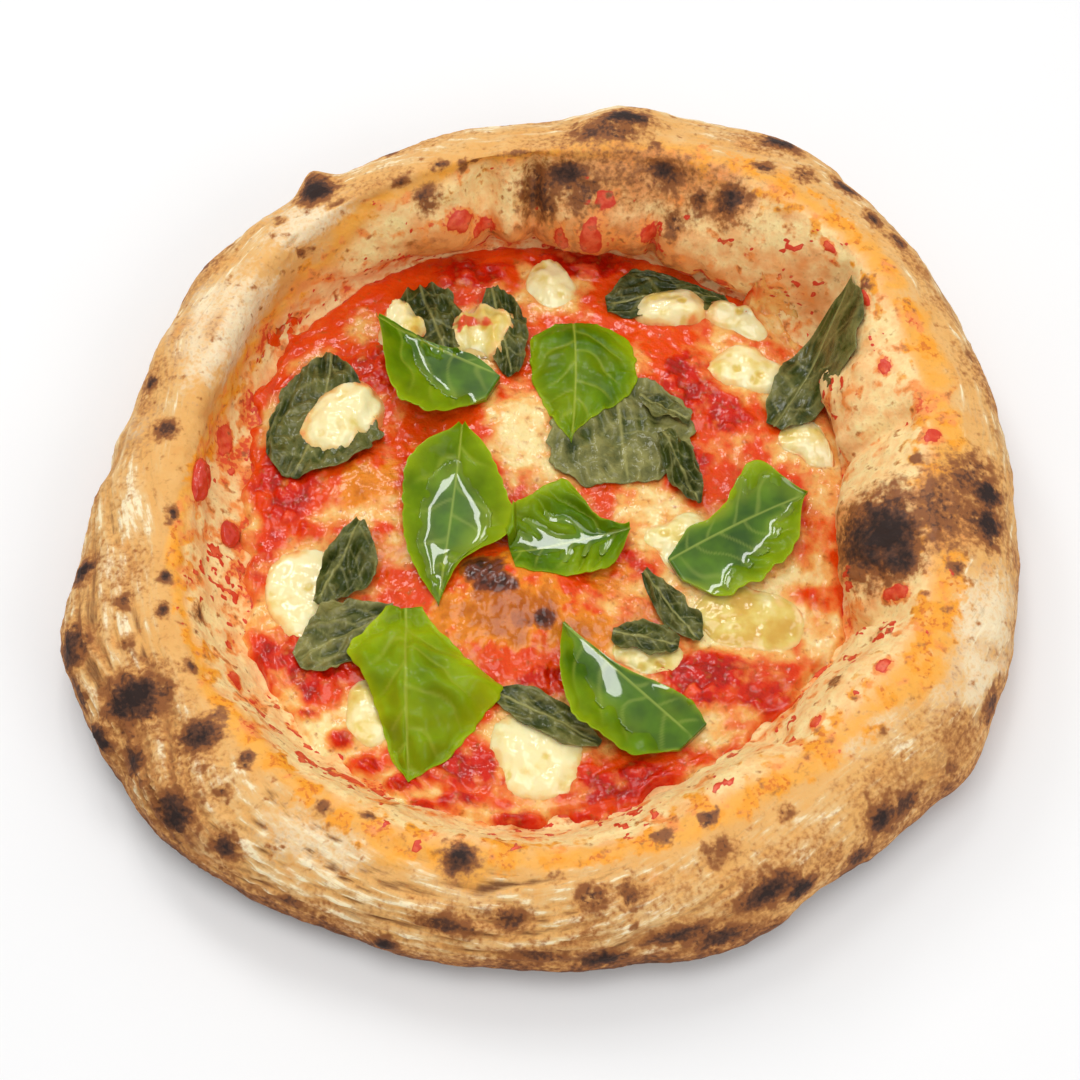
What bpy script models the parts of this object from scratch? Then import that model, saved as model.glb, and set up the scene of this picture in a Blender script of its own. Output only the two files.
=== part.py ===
"""Margherita pizza, baked: one dough base with a puffed rim, a layer of crushed tomato,
melted mozzarella, basil baked with it, fresh basil laid on afterwards and two pieces of tomato.

The frame is in metres with +Z up. The origin is under the middle of the pizza, on the table.
Plan places below are in millimetres, seen from above, and angles run counter-clockwise from +X.
"""

import math

import bmesh
import bpy
import numpy as np
from mathutils import Matrix, Vector, noise
from mathutils.bvhtree import BVHTree

MM = 0.001

# ---- driving dimensions, in millimetres ----
FLOOR_HEIGHT = 4.5          # top of the dough under the sauce
SAUCE_DEPTH = 2.4           # crushed tomato over the dough
SAUCE_CLEAR_OF_WALL = 1.2   # the sauce layer stops this far inside the foot of the rim
GAP = 0.35                  # between a piece and what it lies on
LEAF_THICKNESS = 0.7        # basil, with its oil
RIM_STEPS = 72              # stations round the rim
SECTION_STEPS = 20          # points round the rim's section
FLOOR_RINGS = (0.78, 0.52, 0.26)  # rings of the dough under the sauce, as shares of the well's radius

# The rim at sixteen stations, 22.5 degrees apart:
# outer radius, height of the top, radius of the top, radius of the well,
# and how far the inner wall leans over the well (negative where it slopes away).
RIM = (
    (146, 41, 121, 95, 2),
    (152, 41, 127, 103, 1),
    (161, 44, 136, 114, -6),
    (160, 48, 133, 117, 5),
    (148, 48, 126, 118, 7),
    (146, 44, 126, 118, 4),
    (144, 38, 126, 113, -4),
    (137, 34, 117, 99, -10),
    (140, 33, 114, 90, -11),
    (147, 34, 118, 92, -10),
    (146, 34, 117, 92, -8),
    (139, 33, 115, 90, -8),
    (138, 32, 115, 91, -8),
    (142, 33, 116, 87, -6),
    (142, 35, 117, 87, -7),
    (147, 38, 121, 96, -3),
)

# Blisters, lobes and creases of the rim: angle, place round the section (0 under the outer
# edge, 0.5 on top, 1 at the foot of the inner wall), half length along the rim,
# half width round the section, and height (negative for a crease).
RIM_LUMPS = (
    (0, 0.66, 20, 17, 6.0),
    (26, 0.68, 14, 14, 4.0),
    (58, 0.68, 14, 15, 5.0),
    (81, 0.68, 13, 15, 5.5),
    (94.5, 0.71, 4.5, 13, 3.5),
    (109, 0.66, 15, 14, 4.5),
    (56, 0.34, 12, 12, 3.0),
    (79, 0.42, 12, 12, 4.0),
    (121, 0.36, 5, 5, 5.0),
    (139, 0.30, 13, 12, 3.0),
    (152, 0.40, 14, 12, 2.5),
    (196, 0.30, 16, 12, 2.5),
    (232, 0.42, 20, 12, 2.0),
    (262, 0.55, 16, 12, 1.8),
    (300, 0.62, 18, 14, 3.0),
    (328, 0.64, 15, 14, 4.0),
    (327, 0.22, 12, 12, 2.5),
    (304, 0.20, 12, 12, -2.5),
    (-18, 0.78, 4, 18, -5.0),
    (15, 0.70, 4, 20, -5.0),
    (41, 0.70, 6, 20, -4.5),
    (71, 0.77, 4, 11, -3.5),
    (91, 0.70, 2.5, 17, -4.0),
    (98, 0.70, 3, 17, -4.5),
    (130, 0.60, 4, 10, -2.5),
    (172, 0.30, 6, 12, -2.0),
    (214, 0.30, 6, 12, -2.0),
    (314, 0.74, 4, 14, -3.0),
)

# Bubbles in the dough under the sauce: x, y, half length, half width, height.
FLOOR_BUBBLES = (
    (-10, -17, 25, 16, 6.5),
    (-52, 20, 16, 12, 4.0),
    (27, 66, 14, 12, 3.5),
    (-8, 44, 18, 14, 3.0),
    (76, -6, 18, 14, 3.0),
    (-50, 3, 16, 7, 3.0),
    (48, -52, 18, 12, 2.5),
)

# Melted mozzarella: name, x, y, half width, half height, depth, turn in degrees.
MOZZARELLA = (
    ("left", -73, -17, 15, 18, 4.2, 10),
    ("front", -1, -70, 17, 17, 4.6, 0),
    ("on_leaf_left", -66, 49, 15, 15, 4.0, 20),
    ("back_left", -19, 82, 13, 12, 3.2, -15),
    ("back", 4, 101, 9, 8, 2.6, 0),
    ("on_leaf_back", 43, 91, 12.5, 8, 3.6, 6),
    ("back_right", 66, 80, 11, 9, 3.2, 20),
    ("right_upper", 66, 64, 15, 11, 4.2, -20),
    ("right", 86, 38, 12, 11, 3.4, 0),
    ("centre", 42, 3, 11, 12, 3.0, 0),
    ("right_lower", 63, -25, 19, 14, 3.8, -10),
    ("front_left", -50, -57, 8, 11, 3.4, 0),
    ("front_right", 31, -38, 9, 6, 2.6, -10),
    ("far_left", -44, 83, 8, 7, 2.6, 0),
)

# Basil leaves: name, base x, y, tip x, y, half widths left and right of the midrib as seen
# from the base, lift of the base and of the tip over what they lie on, arch along the midrib,
# and cup across it (positive with the edges up).
BAKED_UNDER = (
    ("left", -71, 67, -75, 26, 19, 19, 0, 0, 0, 1.0),
    ("back_left", -33, 103, -31, 76, 4, 15, 0, 0, 0, 1.0),
    ("back_left_strip", -22, 97, -12, 68, 8, 4, 0, 0, 0, 1.0),
    ("back", 60, 94, 23, 91, 11, 11, 0, 0, 0, 1.0),
    ("centre", 29, 53, 32, 13, 18, 25, 0, 0, 1, 0.5),
)
BAKED_OVER = (
    ("left_fold", -58, 5, -66, -21, 14, 4, 0, 0, 2, 1.0),
    ("left_low", -46, -24, -71, -38, 9, 9, 0, 0, 0, 0.5),
    ("right_strip", 32, -11, 47, -32, 4, 4, 0, 0, 1, 0.5),
    ("right_scrap", 22, -32, 41, -36, 5, 6, 0, 0, 1, 0.5),
    ("front_strip", -14, -50, 18, -66, 4.5, 5, 0, 0, 1, 0.5),
)
LEANING_LEAF = ("leaning", 96.5, 73, 78, 41, 4, 18, 31, 0.5, -2, 2.0)
FRESH = (
    ("left", -24.7, 39, -29.7, -21, 19, 16, 3, 3, -3, 7.0),
    ("middle", 27, 5, -9, -3, 19, 15, 2, 2, -2, 5.0),
    ("right", 40, -5, 84, 20, 19, 19, 3, 7, -2, 6.0),
    ("back", 11.4, 85, 10.4, 37, 20, 15, 2, 2, 2, -3.0),
    ("back_left", -51, 80, -10.6, 59, 6, 27, 7, 3, -3, 7.0),
    ("front_left", -39, -25, -36, -79, 28, 17, 2, 1, 8, -6.0),
    ("front_right", 6, -27, 45, -61, 8, 24, 4, 4, -3, 7.0),
)

# Pieces of tomato on the rim: name, angle, place round the section, half length, half height.
TOMATO = (
    ("large", 172, 0.66, 6.5, 3.0),
    ("small", 178, 0.82, 4.6, 2.4),
)

COLOURS = {
    "dough": ((0.72, 0.50, 0.26), 0.75),
    "tomato": ((0.55, 0.06, 0.02), 0.35),
    "mozzarella": ((0.88, 0.80, 0.55), 0.35),
    "basil_baked": ((0.07, 0.10, 0.03), 0.5),
    "basil_fresh": ((0.10, 0.32, 0.03), 0.35),
}


def clear_scene():
    for obj in list(bpy.data.objects):
        bpy.data.objects.remove(obj, do_unlink=True)


def material(name):
    found = bpy.data.materials.get(name)
    if found:
        return found
    colour, roughness = COLOURS[name]
    made = bpy.data.materials.new(name)
    made.use_nodes = True
    shader = made.node_tree.nodes["Principled BSDF"]
    shader.inputs["Base Color"].default_value = (*colour, 1.0)
    shader.inputs["Roughness"].default_value = roughness
    shader.inputs["Metallic"].default_value = 0.0
    return made


# ---- the dough's shape, as functions ----


def round_the_rim(column, angles):
    """One column of RIM at any angles, by a closed Catmull-Rom curve through its stations."""
    values = np.array([row[column] for row in RIM], float)
    count = len(values)
    place = np.asarray(angles) / (2 * math.pi) * count
    first = np.floor(place).astype(int)
    t = place - first
    a, b, c, d = (values[(first + k) % count] for k in (-1, 0, 1, 2))
    return 0.5 * (
        2 * b + (c - a) * t + (2 * a - 5 * b + 4 * c - d) * t**2 + (3 * b - a - 3 * c + d) * t**3
    )


def section_knots(angles):
    """The rim's section at each angle: nine (radius, height) points from under its outer edge
    over the top to the floor of the well."""
    outer, top, crest, well, lean = (round_the_rim(k, angles) for k in range(5))
    width = outer - well
    zero = np.zeros_like(outer)
    knots = (
        (outer - 0.34 * width, zero),
        (outer - 0.10 * width, 0.13 * top),
        (outer, 0.42 * top),
        (outer - 0.14 * width, 0.82 * top),
        (crest, top),
        (0.5 * (crest + well) + 2.5 - 0.15 * lean, 0.87 * top),
        (well - lean + 1.0, 0.48 * top),
        (well + 1.5 - 0.3 * lean, 0.22 * top),
        (well - 1.5, zero + FLOOR_HEIGHT),
    )
    return np.stack([np.stack(np.broadcast_arrays(r, z), -1) for r, z in knots], 1)


def on_the_section(angles, place):
    """(radius, height) at a place from 0 to 1 round the rim's section."""
    knots = section_knots(angles)
    ends = np.concatenate([2 * knots[:, :1] - knots[:, 1:2], knots, 2 * knots[:, -1:] - knots[:, -2:-1]], 1)
    spans = knots.shape[1] - 1
    first = min(int(place * spans), spans - 1)
    t = place * spans - first
    a, b, c, d = (ends[:, first + k] for k in range(4))
    return 0.5 * (
        2 * b + (c - a) * t + (2 * a - 5 * b + 4 * c - d) * t**2 + (3 * b - a - 3 * c + d) * t**3
    )


def lump_height(angles, place):
    """How far the blisters and creases push the rim's skin out, in millimetres."""
    height = np.zeros_like(angles)
    around = 130.0 * place
    for angle, at, along, across, high in RIM_LUMPS:
        away = (angles - math.radians(angle) + math.pi) % (2 * math.pi) - math.pi
        distance = (away * 122 / along) ** 2 + ((around - 130.0 * at) / across) ** 2
        height += high * np.exp(-distance)
    fade = min(1.0, place / 0.12) * min(1.0, (1 - place) / 0.08)
    return height * fade


def rim_rings(angles, steps):
    """The rim's skin as rings of (x, y, z) points from under the outer edge to the well."""
    places = np.linspace(0, 1, steps)
    section = np.stack([on_the_section(angles, p) for p in places])
    along = np.gradient(section, axis=0)
    outward = np.stack([along[..., 1], -along[..., 0]], -1)
    outward /= np.linalg.norm(outward, axis=-1, keepdims=True)
    lumps = np.stack([lump_height(angles, p) for p in places])
    section = section + outward * lumps[..., None]
    radius, height = section[..., 0], np.maximum(section[..., 1], 0)
    return np.stack([radius * np.cos(angles), radius * np.sin(angles), height], -1)


def floor_height(x, y):
    """The dough's height under the sauce, with its bubbles."""
    height = np.full_like(np.asarray(x, float), FLOOR_HEIGHT)
    for bx, by, half_long, half_wide, high in FLOOR_BUBBLES:
        height = height + high * np.exp(-(((x - bx) / half_long) ** 2) - ((y - by) / half_wide) ** 2)
    return height


def centre_of_plan():
    """Middle of the rim's box in plan, which the origin is put under."""
    angles = np.linspace(0, 2 * math.pi, RIM_STEPS, endpoint=False)
    rim = rim_rings(angles, SECTION_STEPS)[..., :2].reshape(-1, 2)
    return (rim.max(0) + rim.min(0)) / 2


def fade_to_wall(radius, well):
    """1 over the well and 0 at its foot, so that bubbles flatten before the wall."""
    return np.clip((well - radius) / 14.0, 0, 1)


def well_rings(angles):
    """The dough under the sauce as rings, from the sauce's edge to near the middle."""
    well = round_the_rim(3, angles)
    foot = well - 1.5
    radii = [foot - SAUCE_CLEAR_OF_WALL]
    radii += [foot * share for share in FLOOR_RINGS]
    rings = []
    for radius in radii:
        x, y = radius * np.cos(angles), radius * np.sin(angles)
        rise = (floor_height(x, y) - FLOOR_HEIGHT) * fade_to_wall(radius, well)
        rings.append(np.stack([x, y, FLOOR_HEIGHT + rise], -1))
    return rings


# ---- meshes ----


def finish_object(name, points, faces, slot):
    """A mesh object from millimetre points, moved so that the origin is under the middle."""
    centre = centre_of_plan()
    shift = np.array([centre[0], centre[1], 0.0])
    mesh = bpy.data.meshes.new(name)
    mesh.from_pydata([tuple(p) for p in (np.asarray(points) - shift) * MM], [], faces)
    work = bmesh.new()
    work.from_mesh(mesh)
    bmesh.ops.recalc_face_normals(work, faces=work.faces)
    if work.calc_volume(signed=True) < 0:
        bmesh.ops.reverse_faces(work, faces=work.faces)
    work.to_mesh(mesh)
    work.free()
    mesh.shade_smooth()
    mesh.materials.append(material(slot))
    obj = bpy.data.objects.new(name, mesh)
    bpy.context.scene.collection.objects.link(obj)
    return obj


def bridged(ring_count, steps):
    """Quads between neighbouring rings of points."""
    return [
        (ring * steps + i, ring * steps + (i + 1) % steps,
         (ring + 1) * steps + (i + 1) % steps, (ring + 1) * steps + i)
        for ring in range(ring_count - 1)
        for i in range(steps)
    ]


def build_crust():
    angles = np.linspace(0, 2 * math.pi, RIM_STEPS, endpoint=False)
    rings = [*rim_rings(angles, SECTION_STEPS), *well_rings(angles)]
    points = np.concatenate(rings)
    faces = bridged(len(rings), RIM_STEPS)
    faces.append(tuple(range(RIM_STEPS)))  # the flat underside
    last = (len(rings) - 1) * RIM_STEPS
    top = len(points)
    middle = np.array([[0, 0, float(floor_height(0.0, 0.0))]])
    faces += [(last + i, last + (i + 1) % RIM_STEPS, top) for i in range(RIM_STEPS)]
    return finish_object("crust", np.concatenate([points, middle]), faces, "dough")


def build_sauce():
    """The tomato layer: it follows the dough below and is thinner at its edge."""
    angles = np.linspace(0, 2 * math.pi, RIM_STEPS, endpoint=False)
    dough = well_rings(angles)
    depths = [0.6 * SAUCE_DEPTH] + [SAUCE_DEPTH] * len(FLOOR_RINGS)
    upper = [ring + (0, 0, depth) for ring, depth in zip(dough, depths)]
    lower = [ring + (0, 0, GAP) for ring in dough]
    rings = [*reversed(upper), *lower]
    points = np.concatenate(rings)
    middle = float(floor_height(0.0, 0.0))
    ends = np.array([[0, 0, middle + SAUCE_DEPTH], [0, 0, middle + GAP]])
    faces = bridged(len(rings), RIM_STEPS)
    top, bottom, last = len(points), len(points) + 1, (len(rings) - 1) * RIM_STEPS
    for i in range(RIM_STEPS):
        after = (i + 1) % RIM_STEPS
        faces.append((after, i, top))
        faces.append((last + i, last + after, bottom))
    return finish_object("tomato_sauce", np.concatenate([points, ends]), faces, "tomato")


class Support:
    """What has been laid down so far, to find the height that the next piece rests at."""

    def __init__(self):
        self.trees = []
        self.centre = centre_of_plan()

    def add(self, obj):
        graph = bpy.context.evaluated_depsgraph_get()
        self.trees.append(BVHTree.FromObject(obj, graph))

    def height(self, x, y, reach=0.0):
        """The highest surface within reach of a plan place, in millimetres."""
        highest = 0.0
        turns = [(0.0, 0.0)]
        if reach:
            turns += [(reach * math.cos(k * math.pi / 4), reach * math.sin(k * math.pi / 4)) for k in range(8)]
        for dx, dy in turns:
            start = Vector(((x + dx - self.centre[0]) * MM, (y + dy - self.centre[1]) * MM, 0.2))
            for tree in self.trees:
                hit = tree.ray_cast(start, Vector((0, 0, -1)))[0]
                if hit is not None:
                    highest = max(highest, hit.z / MM)
        return highest

    def touches(self, obj):
        graph = bpy.context.evaluated_depsgraph_get()
        tree = BVHTree.FromObject(obj, graph)
        return any(tree.overlap(other) for other in self.trees)

    def lay(self, obj, step=0.3):
        """Lifts a piece clear of everything below it, then counts it as laid."""
        tries = 0
        while self.touches(obj) and tries < 40:
            obj.data.transform(Matrix.Translation((0, 0, step * MM)))
            obj.data.update()
            tries += 1
        self.add(obj)
        return obj


def inside_the_well(x, y, margin=3.0):
    """A plan place pulled in where it would run under the rim."""
    radius, angle = math.hypot(x, y), math.atan2(y, x) % (2 * math.pi)
    angles = np.array([angle])
    limit = float(round_the_rim(3, angles)[0] - max(round_the_rim(4, angles)[0], 0) - margin)
    if radius <= limit:
        return x, y
    return x * limit / radius, y * limit / radius


def build_mozzarella(support, name, x, y, half_wide, half_high, depth, turn):
    """One pool of melted cheese: an uneven round lens that follows what lies under it."""
    steps, shares = 12, (0.5, 0.85, 1.0)
    turned = math.radians(turn)
    seed = Vector((x * 0.13, y * 0.17, 3.1))
    outline = []
    for k in range(steps):
        a = 2 * math.pi * k / steps
        uneven = 1 + 0.16 * noise.noise(seed + Vector((math.cos(a), math.sin(a), 0)) * 1.4)
        px, py = half_wide * uneven * math.cos(a), half_high * uneven * math.sin(a)
        qx = x + px * math.cos(turned) - py * math.sin(turned)
        qy = y + px * math.sin(turned) + py * math.cos(turned)
        outline.append(inside_the_well(qx, qy))
    upper, lower = [], []
    for share in shares:
        for px, py in outline:
            qx, qy = x + share * (px - x), y + share * (py - y)
            rest = support.height(qx, qy, reach=2.0) + GAP
            lower.append((qx, qy, rest))
            upper.append((qx, qy, rest + 0.5 + (depth - 0.5) * (1 - share**3)))
    rest = support.height(x, y, reach=2.0) + GAP
    keep = steps * (len(shares) - 1)
    rings = upper + lower[keep:] + lower[: keep // 2]
    faces = bridged(len(shares), steps)
    rim, under = steps * (len(shares) - 1), steps * len(shares)
    for i in range(steps):
        after = (i + 1) % steps
        faces.append((rim + i, rim + after, under + after, under + i))
        faces.append((under + i, under + after, under + steps + after, under + steps + i))
    top, bottom = len(rings), len(rings) + 1
    rings += [(x, y, rest + depth), (x, y, rest)]
    for i in range(steps):
        after = (i + 1) % steps
        faces.append((after, i, top))
        faces.append((under + steps + i, under + steps + after, bottom))
    return support.lay(finish_object("mozzarella_" + name, rings, faces, "mozzarella"))


def leaf_half_width(t):
    """Basil's outline: the half width along the midrib as a share of the widest, with a
    rounded base at 0 and a drawn-out tip at 1."""
    return 0.04 + 0.96 * t**0.45 * (1 - t) ** 0.75 / 0.452


def build_leaf(support, kind, leaf, rows, columns, draped):
    """One basil leaf as a thin solid on a grid of rows along its midrib and columns across."""
    name, base_x, base_y, tip_x, tip_y, left, right, base_lift, tip_lift, arch, cup = leaf
    along = Vector((tip_x - base_x, tip_y - base_y, 0))
    across = Vector((-along.y, along.x, 0)).normalized()
    seed = Vector((base_x * 0.07, base_y * 0.05, 1.7))
    lower = []
    for row in range(rows + 1):
        t = row / rows
        for column in range(columns + 1):
            s = 2 * column / columns - 1
            middle = Vector((base_x, base_y, 0)) + along * t
            reach = (left if s > 0 else -right) * leaf_half_width(t)
            place = middle.lerp(middle + across * reach, abs(s))
            if draped:
                middle = Vector((*inside_the_well(middle.x, middle.y), 0))
                side = Vector((*inside_the_well(*(middle + across * reach).xy), 0))
                place = middle.lerp(side, abs(s))
            x, y = place.x, place.y
            z = base_lift * (1 - t) + tip_lift * t + arch * 4 * t * (1 - t) + cup * s * s
            if draped:
                crumple = 0.8 * abs(noise.noise(seed + place * 0.22))
                z = support.height(x, y, reach=2.2) + GAP + 0.25 * z + crumple
            lower.append([x, y, z])
    if not draped:
        rise = max(support.height(x, y, reach=1.0) - z for x, y, z in lower)
        for point in lower:
            point[2] += rise + GAP
    upper = [(x, y, z + LEAF_THICKNESS) for x, y, z in lower]
    points = lower + upper
    count, wide = len(lower), columns + 1
    faces = []
    for row in range(rows):
        for column in range(columns):
            a = row * wide + column
            quad = (a, a + 1, a + wide + 1, a + wide)
            faces.append(quad)
            faces.append(tuple(k + count for k in reversed(quad)))
    edge = [*range(columns), *(r * wide + columns for r in range(rows))]
    edge += [*(rows * wide + c for c in range(columns, 0, -1)), *(r * wide for r in range(rows, 0, -1))]
    for i, a in enumerate(edge):
        b = edge[(i + 1) % len(edge)]
        faces.append((b, a, a + count, b + count))
    return support.lay(finish_object(f"basil_{kind}_{name}", points, faces, f"basil_{kind}"))


def build_tomato_piece(name, angle, at, half_long, half_high):
    """A piece of crushed tomato that lies on the rim's inner slope."""
    angles = np.array([math.radians(angle)])
    radius, height = on_the_section(angles, at)[0]
    place = Vector((radius * math.cos(angles[0]), radius * math.sin(angles[0]), height))
    ball = bmesh.new()
    bmesh.ops.create_uvsphere(ball, u_segments=10, v_segments=6, radius=1.0)
    bmesh.ops.recalc_face_normals(ball, faces=ball.faces)
    points, lift = [], half_high + 2.2
    for v in ball.verts:
        uneven = 1 + 0.18 * noise.noise(v.co * 1.7 + place)
        points.append((
            place.x + v.co.x * half_long * uneven,
            place.y + v.co.y * half_long * 0.7 * uneven,
            place.z + lift + v.co.z * half_high * uneven,
        ))
    faces = [tuple(v.index for v in f.verts) for f in ball.faces]
    ball.free()
    return finish_object("tomato_piece_" + name, points, faces, "tomato")


def main():
    clear_scene()
    crust = build_crust()
    support = Support()
    support.add(build_sauce())
    for leaf in BAKED_UNDER:
        build_leaf(support, "baked", leaf, rows=6, columns=4, draped=True)
    for pool in MOZZARELLA:
        build_mozzarella(support, *pool)
    for leaf in BAKED_OVER:
        build_leaf(support, "baked", leaf, rows=6, columns=4, draped=True)
    build_leaf(support, "baked", LEANING_LEAF, rows=6, columns=4, draped=False)
    for leaf in FRESH:
        build_leaf(support, "fresh", leaf, rows=8, columns=4, draped=False)
    rim = Support()
    rim.add(crust)
    for piece in TOMATO:
        rim.lay(build_tomato_piece(*piece))


main()
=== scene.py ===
# Margherita pizza: puffed and charred rim, crushed tomato, melted mozzarella, basil and olive oil.
# Lengths in the tables are millimetres in plan, angles in degrees counter-clockwise from +X.

import math

import bpy
import numpy as np
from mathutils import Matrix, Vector


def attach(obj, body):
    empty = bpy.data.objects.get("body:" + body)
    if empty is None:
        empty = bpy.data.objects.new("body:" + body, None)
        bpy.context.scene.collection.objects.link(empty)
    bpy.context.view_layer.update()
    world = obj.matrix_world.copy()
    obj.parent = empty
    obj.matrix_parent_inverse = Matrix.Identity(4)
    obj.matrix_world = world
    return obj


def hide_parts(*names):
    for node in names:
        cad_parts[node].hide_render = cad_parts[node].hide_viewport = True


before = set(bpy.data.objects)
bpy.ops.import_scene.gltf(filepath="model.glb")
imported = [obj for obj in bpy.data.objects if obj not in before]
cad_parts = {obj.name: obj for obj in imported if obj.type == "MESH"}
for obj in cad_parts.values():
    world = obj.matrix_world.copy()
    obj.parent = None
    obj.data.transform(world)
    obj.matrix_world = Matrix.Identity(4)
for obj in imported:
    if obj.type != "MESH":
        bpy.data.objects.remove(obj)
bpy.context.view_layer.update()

mm = 0.001
planCentre = np.array([2.03, 6.61, 0.0])  # middle of the rim's box in the plan tables below


def addNode(tree, kind, inputs=None, **settings):
    # one node with its settings, its inputs set to a value or linked from a socket
    node = tree.nodes.new(kind)
    for key, value in settings.items():
        setattr(node, key, value)
    for key, value in (inputs or {}).items():
        if isinstance(value, bpy.types.NodeSocket):
            tree.links.new(value, node.inputs[key])
        else:
            node.inputs[key].default_value = value
    return node


def linear(hexColour):
    # an sRGB hex value as the linear colour that a shader works in
    parts = [int(hexColour[i:i + 2], 16) / 255 for i in (1, 3, 5)]
    return tuple(c / 12.92 if c <= 0.04045 else ((c + 0.055) / 1.055) ** 2.4 for c in parts) + (1.0,)


def newMaterial(name, finish):
    # a material with one principled shader; finish is what is the same all over its surface
    material = bpy.data.materials.new(name)
    material.use_nodes = True
    tree = material.node_tree
    tree.nodes.clear()
    output = tree.nodes.new("ShaderNodeOutputMaterial")
    shader = tree.nodes.new("ShaderNodeBsdfPrincipled")
    tree.links.new(shader.outputs["BSDF"], output.inputs["Surface"])
    for socket, value in finish.items():
        shader.inputs[socket].default_value = value
    return material, tree, shader


def layered(tree, base, rows, patterns):
    # colours laid one over another, each where its mask is high, with an edge broken by a pattern
    amount = None
    for mask, hexColour, low, high, grit, pattern in rows:
        read = addNode(tree, "ShaderNodeAttribute", attribute_name=mask).outputs["Fac"]
        off = addNode(tree, "ShaderNodeMath", {0: patterns[pattern].outputs["Fac"], 1: -0.5},
                      operation="ADD")
        broken = addNode(tree, "ShaderNodeMath", {0: off.outputs[0], 1: grit, 2: read},
                         operation="MULTIPLY_ADD")
        amount = addNode(tree, "ShaderNodeMapRange", {0: broken.outputs[0], 1: low, 2: high},
                         interpolation_type="SMOOTHSTEP").outputs[0]
        base = addNode(tree, "ShaderNodeMix", {0: amount, 6: base, 7: linear(hexColour)},
                       data_type="RGBA").outputs[2]
    return base, amount


def smooth(low, high, x):
    t = np.clip((x - low) / (high - low), 0, 1)
    return t * t * (3 - 2 * t)


def curveThrough(a, b, c, d, t):
    # a smooth curve from b to c with neighbours a and d, where t goes from 0 to 1
    return 0.5 * (2 * b + (c - a) * t + (2 * a - 5 * b + 4 * c - d) * t ** 2
                  + (3 * b - a - 3 * c + d) * t ** 3)


def pointsAt(x, y, z=0.0):
    return np.stack([x, y, 0 * x + z], -1)


def evened(grid, times, own):
    # a blurred copy of a grid of heights, each weighed own against its four neighbours
    for _ in range(times):
        p = np.pad(grid, 1, mode="edge")
        grid = (p[:-2, 1:-1] + p[2:, 1:-1] + p[1:-1, :-2] + p[1:-1, 2:] + own * grid) / (4 + own)
    return grid


def scrambled(cell, seed):
    # a repeatable number from 0 to 1 for each whole-number cell
    c = cell.astype(np.int64)
    h = c[..., 0] * 73856093 ^ c[..., 1] * 19349663 ^ c[..., 2] * 83492791 ^ (seed * 2654435761)
    h = (h ^ (h >> 13)) * 1274126177 & 0x7FFFFFFF
    h = (h ^ (h >> 15)) * 668265263 & 0x7FFFFFFF
    return ((h ^ (h >> 11)) & 0xFFFFFF) / float(0xFFFFFF)


def noiseAt(points, size, seed=0):
    # soft noise from about -1 to 1, with lumps about as wide as size
    p = np.asarray(points, float) / size
    cell = np.floor(p)
    f = p - cell
    u = f * f * f * (f * (f * 6 - 15) + 10)
    total = np.zeros(p.shape[:-1])
    for corner in np.ndindex(2, 2, 2):
        away = f - np.array(corner)
        dot, weight = 0.0, 1.0
        for axis, bit in enumerate(corner):
            slope = scrambled(cell + np.array(corner), seed * 7 + axis) * 2 - 1
            dot = dot + slope * away[..., axis]
            weight = weight * (u[..., axis] if bit else 1 - u[..., axis])
        total += weight * dot
    return total * 1.6


def roughNoise(points, size, octaves=3, seed=0):
    total, height = 0.0, 1.0
    for octave in range(octaves):
        total = total + height * noiseAt(points, size / 2 ** octave, seed + octave)
        height *= 0.5
    return total


def cellsAt(points, size, seed=0):
    # distance to the nearest scattered point, in cells, and that point's own number from 0 to 1
    p = np.asarray(points, float) / size
    cell = np.floor(p)
    nearest = np.full(p.shape[:-1], 9.0)
    number = np.zeros(p.shape[:-1])
    for step in np.ndindex(3, 3, 3):
        other = cell + np.array(step) - 1
        spot = np.stack([scrambled(other, seed + axis) for axis in (1, 2, 3)], -1)
        distance = np.linalg.norm(other + spot - p, axis=-1)
        closer = distance < nearest
        nearest = np.where(closer, distance, nearest)
        number = np.where(closer, scrambled(other, seed + 4), number)
    return nearest, number


def gridQuads(rows, columns, closed):
    # quads of a grid of points, row after row, closed round the columns or open
    r = np.arange(rows - 1)[:, None]
    c = np.arange(columns if closed else columns - 1)[None, :]
    after = (c + 1) % columns
    quads = [r * columns + c, r * columns + after, (r + 1) * columns + after, (r + 1) * columns + c]
    return np.stack([np.broadcast_to(q, (rows - 1, c.shape[1])) for q in quads], -1).reshape(-1, 4)


def endCaps(rows, count):
    # single faces that close the first and the last ring of a grid
    return [tuple(range(count))[::-1], tuple(range((rows - 1) * count, rows * count))]


def addObject(name, data):
    made = bpy.data.objects.new(name, data)
    bpy.context.scene.collection.objects.link(made)
    return made


def makePiece(name, points, quads, masks, material, nodes, ends=()):
    # a piece from millimetre points; masks are numbers at each point that its material reads, and
    # ends are the single faces that close it
    points = np.asarray(points, float).reshape(-1, 3)
    mesh = bpy.data.meshes.new(name)
    faces = [tuple(q) for q in np.asarray(quads).tolist()] + [tuple(e) for e in ends]
    mesh.from_pydata(((points - planCentre) * mm).tolist(), [], faces)
    mesh.validate()
    mesh.shade_smooth()
    for key, values in masks.items():
        isVector = np.asarray(values).size == 3 * len(points)
        layer = mesh.attributes.new(key, "FLOAT_VECTOR" if isVector else "FLOAT", "POINT")
        numbers = np.ascontiguousarray(values, float).reshape(-1).astype(np.float32)
        layer.data.foreach_set("vector" if isVector else "value", numbers)
    mesh.materials.append(material)
    piece = addObject(name, mesh)
    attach(piece, "root")
    if nodes:
        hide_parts(*nodes)
    print("made", name, len(mesh.polygons), "faces")


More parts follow.
